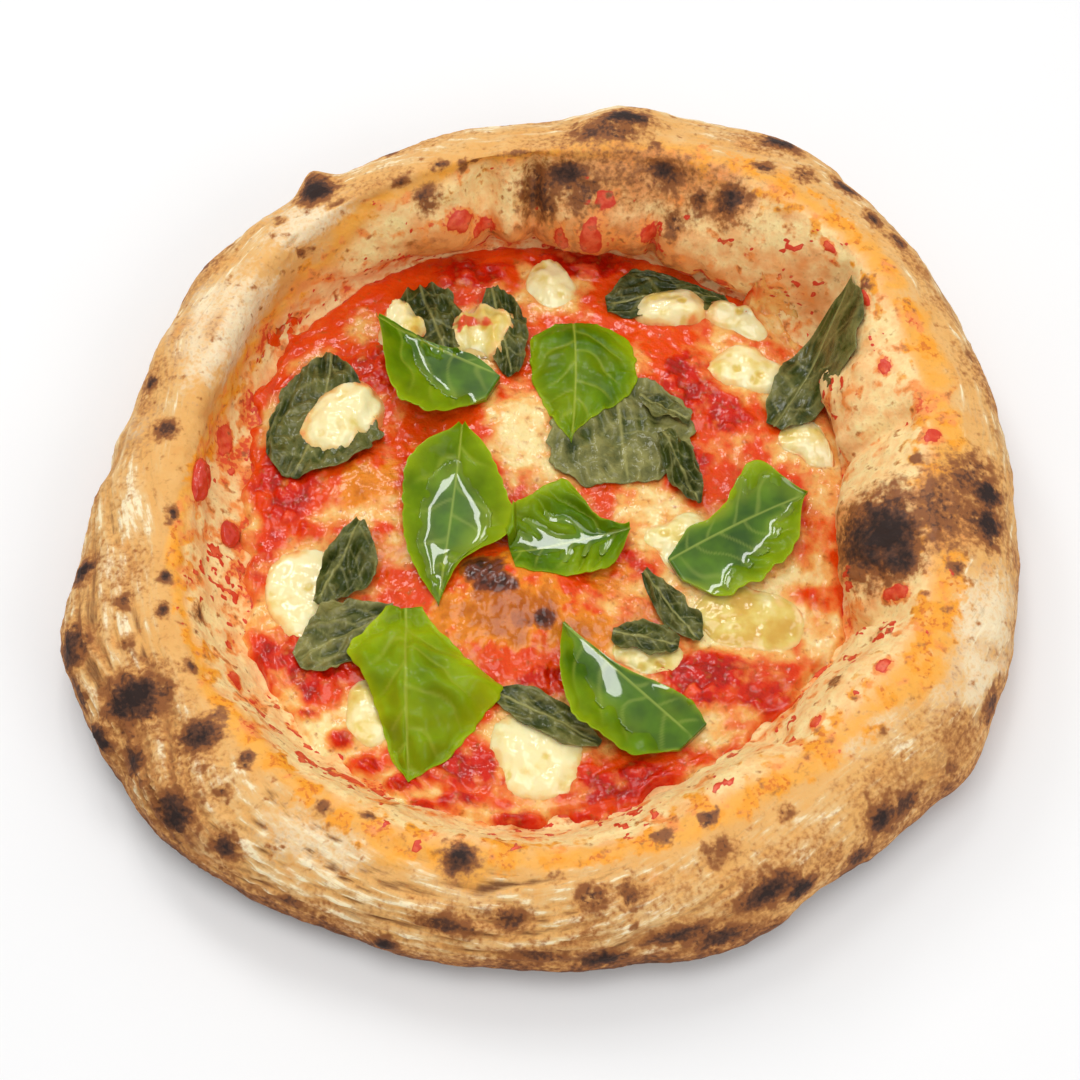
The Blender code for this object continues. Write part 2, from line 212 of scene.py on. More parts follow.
rim = {
    "stationsRound": 720,
    "pointsAcross": 128,
    "outerRadius": (146, 152, 161, 160, 148, 146, 144, 137, 140, 147, 146, 139, 138, 142, 142, 147),
    "topHeight": (41, 41, 44, 48, 48, 44, 38, 34, 33, 34, 34, 33, 32, 33, 35, 38),
    "topRadius": (121, 127, 136, 133, 126, 126, 126, 117, 114, 118, 117, 115, 115, 116, 117, 121),
    "wellRadius": (95, 103, 114, 117, 118, 118, 113, 99, 90, 92, 92, 90, 91, 87, 87, 96),
    "wallLean": (2, 1, -6, 5, 7, 4, -4, -10, -11, -10, -8, -8, -8, -6, -7, -3),
    "floorHeight": 4.5,
    "meanRadius": 122.0,
    "skinLength": 130.0,  # round the section, from under the edge to the foot of the inner wall
    # blisters, lobes and creases: angle, place round the section, half length, half width, height
    "lumps": (
        (0, 0.66, 20, 17, 6.0), (26, 0.68, 14, 14, 4.0), (58, 0.68, 14, 15, 5.0),
        (81, 0.68, 13, 15, 5.5), (94.5, 0.71, 4.5, 13, 3.5), (109, 0.66, 15, 14, 4.5),
        (56, 0.34, 12, 12, 3.0), (79, 0.42, 12, 12, 4.0), (121, 0.36, 5, 5, 5.0),
        (139, 0.30, 13, 12, 3.0), (152, 0.40, 14, 12, 2.5), (196, 0.30, 16, 12, 2.5),
        (232, 0.42, 20, 12, 2.0), (262, 0.55, 16, 12, 1.8), (300, 0.62, 18, 14, 3.0),
        (328, 0.64, 15, 14, 4.0), (327, 0.22, 12, 12, 2.5), (304, 0.20, 12, 12, -2.5),
        (-18, 0.78, 4, 18, -5.0), (15, 0.70, 4, 20, -5.0), (41, 0.70, 6, 20, -4.5),
        (71, 0.77, 4, 11, -3.5), (91, 0.70, 2.5, 17, -4.0), (98, 0.70, 3, 17, -4.5),
        (130, 0.60, 4, 10, -2.5), (172, 0.30, 6, 12, -2.0), (214, 0.30, 6, 12, -2.0),
        (314, 0.74, 4, 14, -3.0),
    ),
    # bubbles in the dough under the sauce: x, y, half length, half width, height
    "floorBubbles": (
        (-10, -17, 25, 16, 6.5), (-52, 20, 16, 12, 4.0), (27, 66, 14, 12, 3.5),
        (-8, 44, 18, 14, 3.0), (76, -6, 18, 14, 3.0), (-50, 3, 16, 7, 3.0), (48, -52, 18, 12, 2.5),
    ),
}


def aroundRim(stations, angles):
    # evenly spaced values round the rim as a smooth closed curve
    values = np.array(stations, float)
    place = np.asarray(angles) / (2 * math.pi) * len(values)
    first = np.floor(place).astype(int)
    return curveThrough(*(values[(first + k) % len(values)] for k in (-1, 0, 1, 2)), place - first)


def rimSection(angles, places):
    # radius and height of the rim's skin: rows are places round the section, columns are angles
    outer, top, crest, well, lean = (
        aroundRim(rim[key], angles)
        for key in ("outerRadius", "topHeight", "topRadius", "wellRadius", "wallLean"))
    width = outer - well
    zero = np.zeros_like(outer)
    knots = ((outer - 0.34 * width, zero), (outer - 0.10 * width, 0.13 * top), (outer, 0.42 * top),
             (outer - 0.14 * width, 0.82 * top), (crest, top),
             (0.5 * (crest + well) + 2.5 - 0.15 * lean, 0.87 * top), (well - lean + 1.0, 0.48 * top),
             (well + 1.5 - 0.3 * lean, 0.22 * top), (well - 1.5, zero + rim["floorHeight"]))
    knots = np.stack([np.stack(pair, -1) for pair in knots])
    knots = np.concatenate([2 * knots[:1] - knots[1:2], knots, 2 * knots[-1:] - knots[-2:-1]])
    spans = len(knots) - 3
    first = np.minimum((places * spans).astype(int), spans - 1)
    t = (places * spans - first)[:, None, None]
    return curveThrough(*(knots[first + k] for k in range(4)), t)


def turnFrom(angles, degrees):
    # signed turn from a direction in degrees to each angle, in radians
    return (angles - math.radians(degrees) + math.pi) % (2 * math.pi) - math.pi


def spotOn(angles, places, spot):
    # distance from a spot's middle on the rim's skin, as a share of its half sizes
    degrees, place, along, across = spot[:4]
    return np.hypot(turnFrom(angles, degrees) * rim["meanRadius"] / along,
                    (places - place) * rim["skinLength"] / across)


def lumpsAt(angles, places, rows):
    # the height of several soft lumps on the rim's skin
    return sum(row[4] * np.exp(-spotOn(angles, places, row) ** 2) for row in rows)


def rimSkin(angles, places):
    # the rim's skin with its blisters and creases, as points
    section = rimSection(angles, places)
    along = np.gradient(section, axis=0)
    outward = np.stack([along[..., 1], -along[..., 0]], -1)
    outward /= np.linalg.norm(outward, axis=-1, keepdims=True)
    height = lumpsAt(angles[None], places[:, None], rim["lumps"])
    fade = np.minimum(1, places / 0.12) * np.minimum(1, (1 - places) / 0.08)
    section = section + outward * (height * fade[:, None])[..., None]
    radius, up = section[..., 0], np.maximum(section[..., 1], 0)
    return np.stack([radius * np.cos(angles), radius * np.sin(angles), up], -1)


def floorAt(x, y):
    # the dough's height under the sauce
    angles = np.arctan2(y, x) % (2 * math.pi)
    fade = np.clip((aroundRim(rim["wellRadius"], angles) - np.hypot(x, y)) / 14, 0, 1)
    rise = 0.0
    for bx, by, halfLong, halfWide, high in rim["floorBubbles"]:
        rise = rise + high * np.exp(-((x - bx) / halfLong) ** 2 - ((y - by) / halfWide) ** 2)
    return rim["floorHeight"] + rise * fade


def insideWell(x, y, margin):
    # places past the foot of the rim are drawn in towards it, ever closer but never past it
    angles = np.arctan2(y, x) % (2 * math.pi)
    radius = np.maximum(np.hypot(x, y), 1e-6)
    limit = aroundRim(rim["wellRadius"], angles) - margin
    soft = 9.0
    past = np.maximum(radius - (limit - soft), 0)
    drawn = np.where(past > 0, limit - soft * np.exp(-past / soft), radius)
    return x * drawn / radius, y * drawn / radius


def openCurve(values, t):
    # evenly spaced values from 0 to 1 as a smooth curve
    v = np.array((values[0], *values, values[-1]), float)
    place = np.clip(t, 0, 1) * (len(values) - 1)
    first = np.minimum(place.astype(int), len(values) - 2)
    return np.maximum(curveThrough(*(v[first + k] for k in range(4)), place - first), 0.05)


def outwardNormals(points):
    # normals of a grid of points closed round its columns, pointing away from the dough
    across = np.gradient(points, axis=0)
    along = np.roll(points, -1, 1) - np.roll(points, 1, 1)
    normals = np.cross(along, across)
    length = np.linalg.norm(normals, axis=-1, keepdims=True)
    return normals / np.maximum(length, 1e-9)


class Pile:
    # the height of everything laid so far, so that the next piece can lie on it
    cell = 0.8
    reach = 130.0

    def __init__(self):
        count = int(2 * self.reach / self.cell)
        self.height = np.zeros((count, count))

    def index(self, x, y):
        limit = self.height.shape[0] - 1.001
        i = np.clip((x + self.reach) / self.cell - 0.5, 0, limit)
        j = np.clip((y + self.reach) / self.cell - 0.5, 0, limit)
        return i, j

    def add(self, points):
        points = np.asarray(points).reshape(-1, 3)
        inside = np.abs(points[:, :2]).max(-1) < self.reach - 1
        points = points[inside]
        i, j = self.index(points[:, 0], points[:, 1])
        layer = np.zeros_like(self.height)
        np.maximum.at(layer, (np.round(i).astype(int), np.round(j).astype(int)), points[:, 2])
        padded = np.pad(layer, 1)
        size = layer.shape[0]
        around = [padded[a:a + size, b:b + size] for a in range(3) for b in range(3)]
        filled = np.where(layer > 0, layer, np.max(around, 0))
        self.height = np.maximum(self.height, filled)

    def at(self, x, y):
        i, j = self.index(x, y)
        a, b = i.astype(int), j.astype(int)
        u, v = i - a, j - b
        h = self.height
        return (h[a, b] * (1 - u) * (1 - v) + h[a + 1, b] * u * (1 - v)
                + h[a, b + 1] * (1 - u) * v + h[a + 1, b + 1] * u * v)

    def softened(self, times):
        # a blurred copy, for stiff pieces that bridge small hollows
        copy = Pile()
        copy.height = evened(self.height, times, 2)
        return copy


pile = Pile()


crust = {
    # colours over the plain dough: mask, colour, where it starts and is full, how ragged, pattern
    "colours": (
        ("wall", "#A9703A", 0.15, 1.15, 1.4, "crumb"),
        # flour, and a painted highlight on the ridges of the stretch folds
        ("flourAndRidgeHighlight", "#E6BE82", 0.30, 1.00, 1.5, "lines"),
        ("flourAndRidgeHighlight", "#FAE8BE", 0.78, 1.20, 2.2, "lines"),
        # pale dough, and painted light on the left of the rim
        ("pale", "#F4E2BC", 0.25, 1.35, 1.5, "crumb"),
        # painted shade in the hollows between the stretch folds
        ("foldHollowShade", "#74451F", 0.20, 1.0, 1.5, "lines"),
        ("stain", "#F4AC42", 0.25, 1.0, 1.6, "mottle"),
        ("peach", "#F8BE7A", 0.15, 0.85, 1.2, "mottle"),
        ("peach", "#FCE2A0", 0.40, 1.20, 1.5, "flecks"),
        ("tan", "#EA9650", 0.10, 0.95, 1.6, "mottle"),
        ("tan", "#B86634", 0.72, 1.30, 1.8, "flecks"),
        ("saffron", "#F4A026", 0.30, 0.95, 2.4, "flecks"),
        ("saffron", "#DE7810", 0.90, 1.30, 2.4, "crumb"),
        ("orange", "#F4984A", 0.25, 0.75, 2.0, "flecks"),
        ("orange", "#E25226", 0.70, 1.10, 2.0, "crumb"),
        # toasted brown, and painted shade low on the front wall
        ("toastAndFrontShade", "#BF7F40", 0.05, 0.85, 1.6, "crumb"),
        ("toastAndFrontShade", "#864C22", 0.42, 1.10, 1.6, "crumb"),
        ("toastAndFrontShade", "#5C351A", 0.85, 1.35, 1.6, "crumb"),
        ("tomato", "#D5391A", 0.40, 0.62, 0.5, "crumb"),
        ("tomato", "#E8603A", 0.75, 1.15, 1.6, "flecks"),
        ("char", "#8E5427", 0.10, 0.42, 1.3, "flecks"),
        ("char", "#59341F", 0.34, 0.66, 1.2, "crumb"),
        ("char", "#2E1E19", 0.60, 0.98, 1.1, "crumb"),
    ),
    "wallRadius": 140,     # where the folds' sizes hold
    "wrinkleDepth": 2.3,   # stretch folds of floured dough, along the rim
    "blisterHeight": 0.9,
    "extraLumps": (         # angle, place, half length, half width, height
        (71, 0.77, 3, 9, -2.5), (99, 0.72, 2.4, 12, -2.0), (95, 0.76, 4, 7, 1.5),
        (57, 0.74, 3, 9, -2.0), (341, 0.80, 3, 18, -2.5), (352, 0.69, 13, 12, 1.5),
        (30, 0.80, 9, 9, 2.0), (212, 0.60, 12, 10, -1.2),
        (122, 0.42, 4.0, 3.8, 1.7), (198, 0.33, 5, 6, 1.0), (209, 0.31, 4, 4, 1.6),
        (252, 0.27, 4, 4, 1.2), (208, 0.42, 7, 7, 0.8), (301, 0.33, 5, 4, 0.8),
        (104, 0.79, 15, 13, 3.0), (85, 0.80, 15, 12, 3.2), (69, 0.80, 13, 12, 3.0),
        (55, 0.80, 14, 12, 2.5), (94.5, 0.70, 3.5, 16, -2.5), (100.5, 0.72, 3, 16, -2.5),
        (77, 0.84, 2.5, 7, -2.0), (62, 0.84, 2.5, 8, -2.0),
        (146, 0.63, 26, 11, 3.6), (128, 0.61, 16, 10, 2.6),
        (59, 0.40, 5, 4, 1.2), (78, 0.45, 8, 5, 1.0), (259, 0.495, 4.5, 4.5, 0.8),
    ),
    # charred places: angle, place, half length, half width, how burnt
    "char": (
        (354, 0.655, 13, 11.5, 1.0), (350, 0.64, 7, 8, 0.9), (0.5, 0.415, 4.5, 4.5, 1.0),
        (356, 0.415, 5.5, 5, 1.0), (357, 0.53, 13, 9, 0.45), (2, 0.44, 9, 8, 0.45),
        (86, 0.64, 8, 5, 0.8), (90, 0.68, 6, 6, 0.62), (83, 0.67, 6, 4, 0.5), (71.5, 0.61, 6, 5, 0.8),
        (60.5, 0.62, 5, 6, 0.8), (65, 0.65, 3, 3, 0.6), (68, 0.70, 3, 3, 0.5), (58.5, 0.475, 3, 2, 0.6),
        (78.5, 0.44, 7, 3, 1.0), (81.5, 0.475, 12, 5, 0.55), (94, 0.53, 5, 3, 0.4),
        (59.5, 0.395, 5, 3, 1.0), (49.5, 0.39, 4, 2.5, 0.85), (44, 0.41, 3, 2, 0.7),
        (40, 0.395, 2.5, 2, 0.7), (54, 0.44, 3, 3, 0.4), (122, 0.42, 4.8, 4.6, 1.25),
        (121, 0.50, 4, 3, 0.4), (105, 0.52, 3, 3, 0.6), (108, 0.635, 4, 5, 0.5),
        (111.5, 0.545, 3, 3, 0.5), (100, 0.56, 3, 3, 0.4), (159, 0.385, 2.5, 2.5, 0.9),
        (166.5, 0.475, 3.5, 4.5, 0.75), (181.5, 0.545, 3, 3, 0.7), (192.5, 0.53, 2.2, 3, 0.85),
        (198, 0.515, 2.4, 2.4, 0.85), (198, 0.67, 3, 3, 0.6), (208.5, 0.54, 3, 3, 0.55),
        (187.5, 0.34, 4, 5, 0.9), (198, 0.33, 5, 6, 0.95), (209.5, 0.305, 4, 4, 1.0),
        (208.5, 0.415, 7, 7, 1.0), (218.5, 0.465, 5, 5, 0.8), (214.5, 0.35, 4, 4, 0.85),
        (223.5, 0.35, 6, 6, 0.9), (231, 0.365, 4, 3, 0.85), (203, 0.30, 5, 4, 0.7),
        (240, 0.30, 4, 3, 0.5), (252, 0.27, 4, 3, 0.95), (259, 0.365, 8, 3, 0.65),
        (266.5, 0.395, 5, 3, 0.6), (270, 0.31, 7, 3, 0.6), (277, 0.29, 8, 3.5, 0.9),
        (286.5, 0.335, 9, 3, 0.8), (291, 0.30, 8, 4, 0.75), (297.5, 0.36, 8, 4, 0.9),
        (301.5, 0.325, 5, 3, 0.95), (314.5, 0.335, 5, 5, 0.85), (276.5, 0.435, 5, 3, 0.45),
        (281.5, 0.43, 4, 3, 0.5), (294, 0.46, 5, 3, 0.4), (310, 0.285, 5, 4, 0.75),
        (318, 0.325, 5, 4, 0.7), (335, 0.30, 6, 4, 0.6), (238.5, 0.50, 2.6, 2.6, 0.4),
        (244.5, 0.54, 2.2, 2.2, 0.6), (259, 0.495, 4.6, 4.6, 0.9),
    ),
    # broad golden browning: angle, place, half length, half width, strength
    "toastAndFrontShade": (
        (75, 0.60, 42, 16, 0.62), (86, 0.50, 26, 8, 0.42), (148, 0.50, 12, 5, 0.35),
        (157, 0.41, 12, 7, 0.40), (140, 0.36, 12, 4, 0.35), (357, 0.50, 20, 16, 0.8),
        (115, 0.50, 14, 7, 0.4), (105, 0.40, 16, 5, 0.35), (62, 0.42, 14, 5, 0.5),
        (210, 0.42, 16, 12, 0.6), (222, 0.40, 16, 12, 0.5), (190, 0.44, 14, 9, 0.45),
        (300, 0.38, 26, 9, 0.5), (318, 0.40, 20, 8, 0.4), (259, 0.495, 9, 8, 0.5),
        (262, 0.38, 22, 7, 0.45), (285, 0.42, 20, 6, 0.35),
    ),
    # reddish tan of the high back wall and the right bubble, and pale unbaked dough with a painted pool of
    # light on the left of the rim, as above
    "tan": (
        (72, 0.60, 46, 14, 0.85), (80, 0.78, 60, 14, 1.05), (108, 0.76, 26, 12, 0.9),
        (45, 0.74, 26, 14, 0.65), (354, 0.72, 22, 16, 0.75), (357, 0.52, 22, 16, 0.55),
        (130, 0.76, 20, 10, 0.5), (20, 0.76, 16, 14, 0.4),
    ),
    "pale": (
        (340, 0.38, 30, 16, 1.0), (322, 0.50, 20, 8, 0.7), (148, 0.52, 26, 22, 1.1),
        (145, 0.63, 24, 13, 1.1), (126, 0.52, 18, 18, 1.05), (165, 0.40, 16, 8, 0.6),
        (240, 0.44, 20, 7, 0.8), (262, 0.44, 14, 6, 0.45), (60, 0.45, 14, 5, 0.5),
        (99, 0.62, 5, 14, 0.7), (46, 0.62, 12, 8, 0.6), (28, 0.50, 16, 8, 0.4),
    ),
    # where the oil and tomato stain starts on the rim, as a place round the section, by station
    "stainEdge": (.45, .43, .44, .46, .49, .54, .68, .67, .53, .53, .49, .45, .47, .49, .465, .44),
    # tomato on the rim: angle, place, half length, half width
    "tomato": (
        (172, 0.68, 6.5, 4.5), (177.5, 0.84, 4, 4), (9, 0.53, 2.6, 3.4), (344.5, 0.645, 2.2, 4.5),
        (103.5, 0.71, 5.5, 2.4), (99, 0.745, 4.5, 3), (86, 0.755, 3, 3), (81, 0.74, 4, 4.5),
        (79.5, 0.68, 3.5, 1.8), (72, 0.73, 3, 3), (160, 0.80, 6, 5), (210, 0.72, 4, 2.5),
        (330, 0.56, 3, 2.2), (318, 0.62, 3, 2), (255, 0.70, 3, 2), (236, 0.80, 5, 4),
        (24, 0.62, 2.5, 2.5), (35, 0.60, 3, 2), (45, 0.60, 2.6, 2),
    ),
}


def bakedDough():
    # wheat dough baked on stone: matt and floury outside with fine stretch lines, toasted and
    # charred where it rose, stained with oil and tomato on the inner slope, which shines there
    # its colours also hold painted shade in the fold hollows and low on the front wall, a painted highlight
    # on the fold ridges and painted light on the left of the rim
    material, tree, shader = newMaterial("bakedDough", {
        "IOR": 1.45, "Subsurface Weight": 0.10, "Subsurface Radius": (3 * mm, 1.6 * mm, 0.8 * mm),
        "Subsurface Scale": 1.0})
    place = addNode(tree, "ShaderNodeTexCoord").outputs["Object"]
    along = addNode(tree, "ShaderNodeAttribute", attribute_name="along").outputs["Vector"]
    crumb = addNode(tree, "ShaderNodeTexNoise", {"Vector": place, "Scale": 1000 / 1.5, "Detail": 3.0})
    mottle = addNode(tree, "ShaderNodeTexNoise", {"Vector": place, "Scale": 1000 / 8, "Detail": 4.0})
    flecks = addNode(tree, "ShaderNodeTexNoise", {"Vector": place, "Scale": 1000 / 3.4, "Detail": 3.0})
    lines = addNode(tree, "ShaderNodeTexNoise", {"Vector": along, "Scale": 1.0, "Detail": 4.0,
                                                 "Roughness": 0.6})

    base = addNode(tree, "ShaderNodeMix", {0: mottle.outputs["Fac"], 6: linear("#F0BE76"),
                                           7: linear("#DC9A48")}, data_type="RGBA").outputs[2]
    patterns = {"crumb": crumb, "mottle": mottle, "flecks": flecks, "lines": lines}
    base, charAmount = layered(tree, base, crust["colours"], patterns)
    tree.links.new(base, shader.inputs["Base Color"])

    wet = addNode(tree, "ShaderNodeAttribute", attribute_name="wet").outputs["Fac"]
    rough = addNode(tree, "ShaderNodeMapRange", {0: wet, 1: 0.0, 2: 1.0, 3: 0.80, 4: 0.34})
    addRough = addNode(tree, "ShaderNodeMath", {0: charAmount, 1: 0.12, 2: rough.outputs[0]},
                       operation="MULTIPLY_ADD", use_clamp=True)
    tree.links.new(addRough.outputs[0], shader.inputs["Roughness"])
    wall = addNode(tree, "ShaderNodeAttribute", attribute_name="wall").outputs["Fac"]
    stretched = addNode(tree, "ShaderNodeMath", {0: lines.outputs["Fac"], 1: wall}, operation="MULTIPLY")
    stretched = addNode(tree, "ShaderNodeMath", {0: stretched.outputs[0], 1: 2.5, 2: flecks.outputs["Fac"]},
                        operation="MULTIPLY_ADD")
    relief = addNode(tree, "ShaderNodeMath", {0: crumb.outputs["Fac"], 1: stretched.outputs[0]},
                     operation="ADD")
    bump = addNode(tree, "ShaderNodeBump", {"Height": relief.outputs[0], "Strength": 0.7,
                                            "Distance": 0.4 * mm})
    tree.links.new(bump.outputs["Normal"], shader.inputs["Normal"])
    return material


def makeCrust():
    angles = np.linspace(0, 2 * math.pi, rim["stationsRound"], endpoint=False)
    places = np.linspace(0, 1, rim["pointsAcross"])
    skin = rimSkin(angles, places)
    a, s = angles[None, :], places[:, None]
    degrees = np.degrees(a)
    fade = np.minimum(1, s / 0.10) * np.minimum(1, (1 - s) / 0.12)

    extra = lumpsAt(a, s, crust["extraLumps"])
    outside = smooth(0.50, 0.34, s)                          # the floured outer wall
    edge = aroundRim(crust["stainEdge"], a)
    inner = smooth(-0.03, 0.05, s - edge + 0.035 * roughNoise(skin, 26, 2, 5))
    # stretch folds run along the rim and slant a little
    around = s * rim["skinLength"]
    slant = 9.0 * np.sin(3 * a + 0.6) + 4.0 * noiseAt(skin, 40, 9)

    def alongFolds(long, short):
        # places for a pattern drawn out along the outer wall: its length there and its width
        return np.stack(np.broadcast_arrays(np.cos(a) * crust["wallRadius"] / long,
                                            np.sin(a) * crust["wallRadius"] / long,
                                            (around + slant) / short), -1)

    ringed = alongFolds(52, 3.6)
    broad = 1 - np.abs(roughNoise(ringed, 1.0, 3, 11)) * 1.3
    ringed = ringed * np.array([1.5, 1.5, 2.1])
    narrow = 1 - np.abs(roughNoise(ringed, 1.0, 2, 14)) * 1.3
    folds = np.clip(0.65 * broad + 0.35 * narrow, 0, 1) ** 2.3
    alongRim = alongFolds(9, 1.1)
    foldWhere = smooth(165, 200, degrees) * smooth(310, 265, degrees) * 0.75 + 0.25
    foldWhere = foldWhere * smooth(0.56, 0.42, s) * smooth(0.05, 0.2, s)
    extra += crust["wrinkleDepth"] * (folds - 0.35) * foldWhere * (0.3 + 0.7 * smooth(0.24, 0.36, s))
    extra += 0.9 * roughNoise(skin, 12, 2, 17) * smooth(0.50, 0.70, s)
    extra += 1.1 * roughNoise(skin, 26, 3, 21)
    nearest, number = cellsAt(skin, 9.0, 31)
    dome = np.clip(1 - (nearest / (0.28 + 0.25 * number)) ** 2, 0, 1) * (number > 0.62)
    extra += crust["blisterHeight"] * dome * (0.35 + 0.65 * smooth(0.42, 0.55, s)) * smooth(0.94, 0.84, s)
    extra += 0.30 * roughNoise(skin, 3.5, 2, 41) * (0.6 + 0.4 * inner)

    ragged = 0.30 * roughNoise(skin, 5.0, 3, 51)
    char = np.max([spot[4] * 1.08 * np.exp(-(np.maximum(spotOn(a, s, spot) + ragged, 0) / 0.95) ** 2)
                   for spot in crust["char"]], 0)
    # a scatter of small leopard spots on the crown and the outer wall
    nearest, number = cellsAt(skin, 13.0, 61)
    leopard = smooth(0.30, 0.08, nearest + 0.5 * ragged) * (number > 0.70) * (0.25 + 0.9 * (number - 0.7))
    char = np.maximum(char, leopard * smooth(0.16, 0.26, s) * smooth(0.72, 0.60, s) * 1.2)

    def spotted(rows, clear, full, uneven):
        # the strongest of several soft spots at each place
        return np.max([spot[4] * smooth(clear, full, spotOn(a, s, spot) + uneven) for spot in rows], 0)

    toastAndFrontShade = spotted(crust["toastAndFrontShade"], 1.4, 0.2, ragged * 0.8)
    # browner towards the bottom edge all round, and darker still on the front half as painted shade
    lowEdge = s + 0.05 * roughNoise(skin, 14, 3, 71)
    front = smooth(175, 215, degrees) * smooth(345, 310, degrees)
    toastAndFrontShade = np.maximum(toastAndFrontShade, (0.40 + 0.50 * front) * smooth(0.38, 0.22, lowEdge)
                       + (0.2 + 0.40 * front) * smooth(0.28, 0.14, lowEdge))
    toastAndFrontShade = np.maximum(toastAndFrontShade, 0.62 * smooth(0.5, 0.0, np.abs(char - 0.30)) * (char > 0.06))
    patchy = roughNoise(skin, 22, 3, 75)
    toastAndFrontShade = np.maximum(toastAndFrontShade, outside * 0.62 * smooth(0.05, 0.6, patchy))
    tan = spotted(crust["tan"], 1.4, 0.2, ragged * 0.6)
    outer = smooth(0.56, 0.44, s)
    # flour on the outer wall, paler on the fold ridges as a painted highlight
    flourAndRidgeHighlight = outer * (0.50 + 0.40 * roughNoise(skin, 16, 3, 81) + 1.5 * (folds - 0.35) * (0.3 + foldWhere))
    flourAndRidgeHighlight = np.clip(flourAndRidgeHighlight, 0, 1.1) * (1 - 0.5 * np.clip(toastAndFrontShade, 0, 1)) * (1 - smooth(0.1, 0.5, char))
    # painted shade: darker brown in the hollows between the folds of the outer wall
    foldHollowShade = np.clip(2.4 * (0.40 - folds) * foldWhere, 0, 1) * outer
    # pale dough, and painted light that brightens the left of the rim where it lies in shade
    pale = spotted(crust["pale"], 1.4, 0.3, ragged * 0.8)
    pale = pale * (1 - np.clip(toastAndFrontShade, 0, 0.8)) * (1 - smooth(0.1, 0.5, char))
    wall = outside * np.clip(0.55 + 0.45 * roughNoise(skin, 20, 3, 85), 0, 1)

    # coordinates flattened where the wall faces the far side, so that spots look round from above
    seen = skin.copy()
    seen[..., 2] *= 0.45 + 0.95 * smooth(-0.3, 0.4, np.sin(a))
    depth = s - edge
    band = smooth(-0.02, 0.04, depth) * smooth(0.22, 0.10, depth)
    backSide = smooth(60, 75, degrees) * smooth(150, 120, degrees)
    saffron = band * smooth(-0.35, 0.40, roughNoise(seen, 7, 3, 91)) * (1 - 0.55 * backSide)
    peach = smooth(0.03, 0.14, depth) * (0.90 + 0.25 * roughNoise(skin, 12, 2, 95))
    torn = 0.35 * roughNoise(skin, 3.4, 3, 101)
    fromTomato = np.min([spotOn(a, s, spot) + torn for spot in crust["tomato"]], 0)
    tomato = smooth(1.2, 0.75, fromTomato)
    # small flecks of pulp thrown up on the inner slope, in clumps, thicker towards the sauce
    clumps = np.clip(0.25 + 1.0 * roughNoise(seen, 17, 2, 105), 0, 1.2)
    leftSide = smooth(120, 140, degrees) * smooth(215, 190, degrees)
    facingBack = smooth(190, 215, degrees) * smooth(345, 320, degrees)
    near = smooth(0.06 - 0.03 * facingBack, 0.38 - 0.18 * facingBack, depth)
    for size, seed, share in ((3.6, 111, 0.30), (5.6, 121, 0.32), (9.0, 127, 0.36)):
        squeezed = seen + 0.34 * size * np.stack(
            [roughNoise(seen, 2.6, 2, seed + 1), roughNoise(seen, 2.6, 2, seed + 2), 0 * char], -1)
        nearest, number = cellsAt(squeezed, size, seed)
        amount = share * (0.15 + 1.2 * near) * (clumps + 0.55 * leftSide)
        fleck = smooth(0.38, 0.22, nearest + 0.26 * roughNoise(seen, 2.2, 2, seed + 3)) * (number < amount)
        tomato = np.maximum(tomato, fleck * inner)
    # the sauce's own edge, where it is smeared up the gentle slopes
    smear = s + 0.06 * roughNoise(seen, 9, 3, 131)
    wash = smooth(0.955, 0.99, smear)
    tomato = np.maximum(tomato, wash)
    orange = smooth(0.55, 0.95, s) * 0.26 + 0.75 * roughNoise(seen, 8, 3, 135) + 0.04 + 0.20 * leftSide
    orange = np.clip(orange, 0, 1.1) * inner
    orange = np.maximum(orange, 0.8 * smooth(2.0, 1.0, fromTomato))
    wet = np.clip(inner * (0.55 + 0.35 * roughNoise(skin, 12, 2, 141)) + 0.5 * tomato, 0, 1)
    wet = wet * (1 - 0.7 * char)
    extra += 0.5 * tomato * (1 - wash) + 0.25 * roughNoise(skin, 1.8, 2, 151) * char

    skin = skin + outwardNormals(skin) * (extra * fade)[..., None]
    skin[..., 2] = np.maximum(skin[..., 2], 0.02)
    skin[0, :, 2] = 0

    # the dough under the sauce and the flat underside, both with few points
    well = aroundRim(rim["wellRadius"], angles) - 1.5
    rings = []
    for share in (0.93, 0.8, 0.6, 0.4, 0.2):
        x, y = well * share * np.cos(angles), well * share * np.sin(angles)
        rings.append(pointsAt(x, y, floorAt(x, y) - 0.3))
    under = [skin[0] * np.array([share, share, 0]) for share in (0.15, 0.45, 0.75, 0.93)]
    points = np.concatenate([np.array(under), skin, np.array(rings)])
    rows = len(points)
    quads = gridQuads(rows, len(angles), True)
    masks = {}
    for key, values in (("char", char), ("toastAndFrontShade", toastAndFrontShade), ("flourAndRidgeHighlight", flourAndRidgeHighlight), ("stain", inner * 0.9),
                        ("saffron", saffron), ("peach", peach), ("tomato", tomato), ("wet", wet),
                        ("wall", wall), ("orange", orange), ("tan", tan), ("foldHollowShade", foldHollowShade),
                        ("pale", pale), ("along", alongRim)):
        before = np.zeros((4, *values.shape[1:]))
        if key == "toastAndFrontShade":
            before = 0.55 + 0.5 * roughNoise(np.array(under), 30, 3, 161)
        if key == "char":
            before = np.clip(1.4 * roughNoise(np.array(under), 14, 2, 171) - 0.35, 0, 1)
        after = np.repeat(values[-1:], 5, 0)
        masks[key] = np.concatenate([before, values, after])
    # nothing lies on the wall where it leans over the sauce
    clear = np.hypot(skin[..., 0], skin[..., 1]) > aroundRim(rim["wellRadius"], angles)[None] - 0.5
    pile.add(skin[clear])
    makePiece("crust_baked", points, quads, masks, bakedDough(), ["crust"],
              endCaps(rows, len(angles)))


makeCrust()


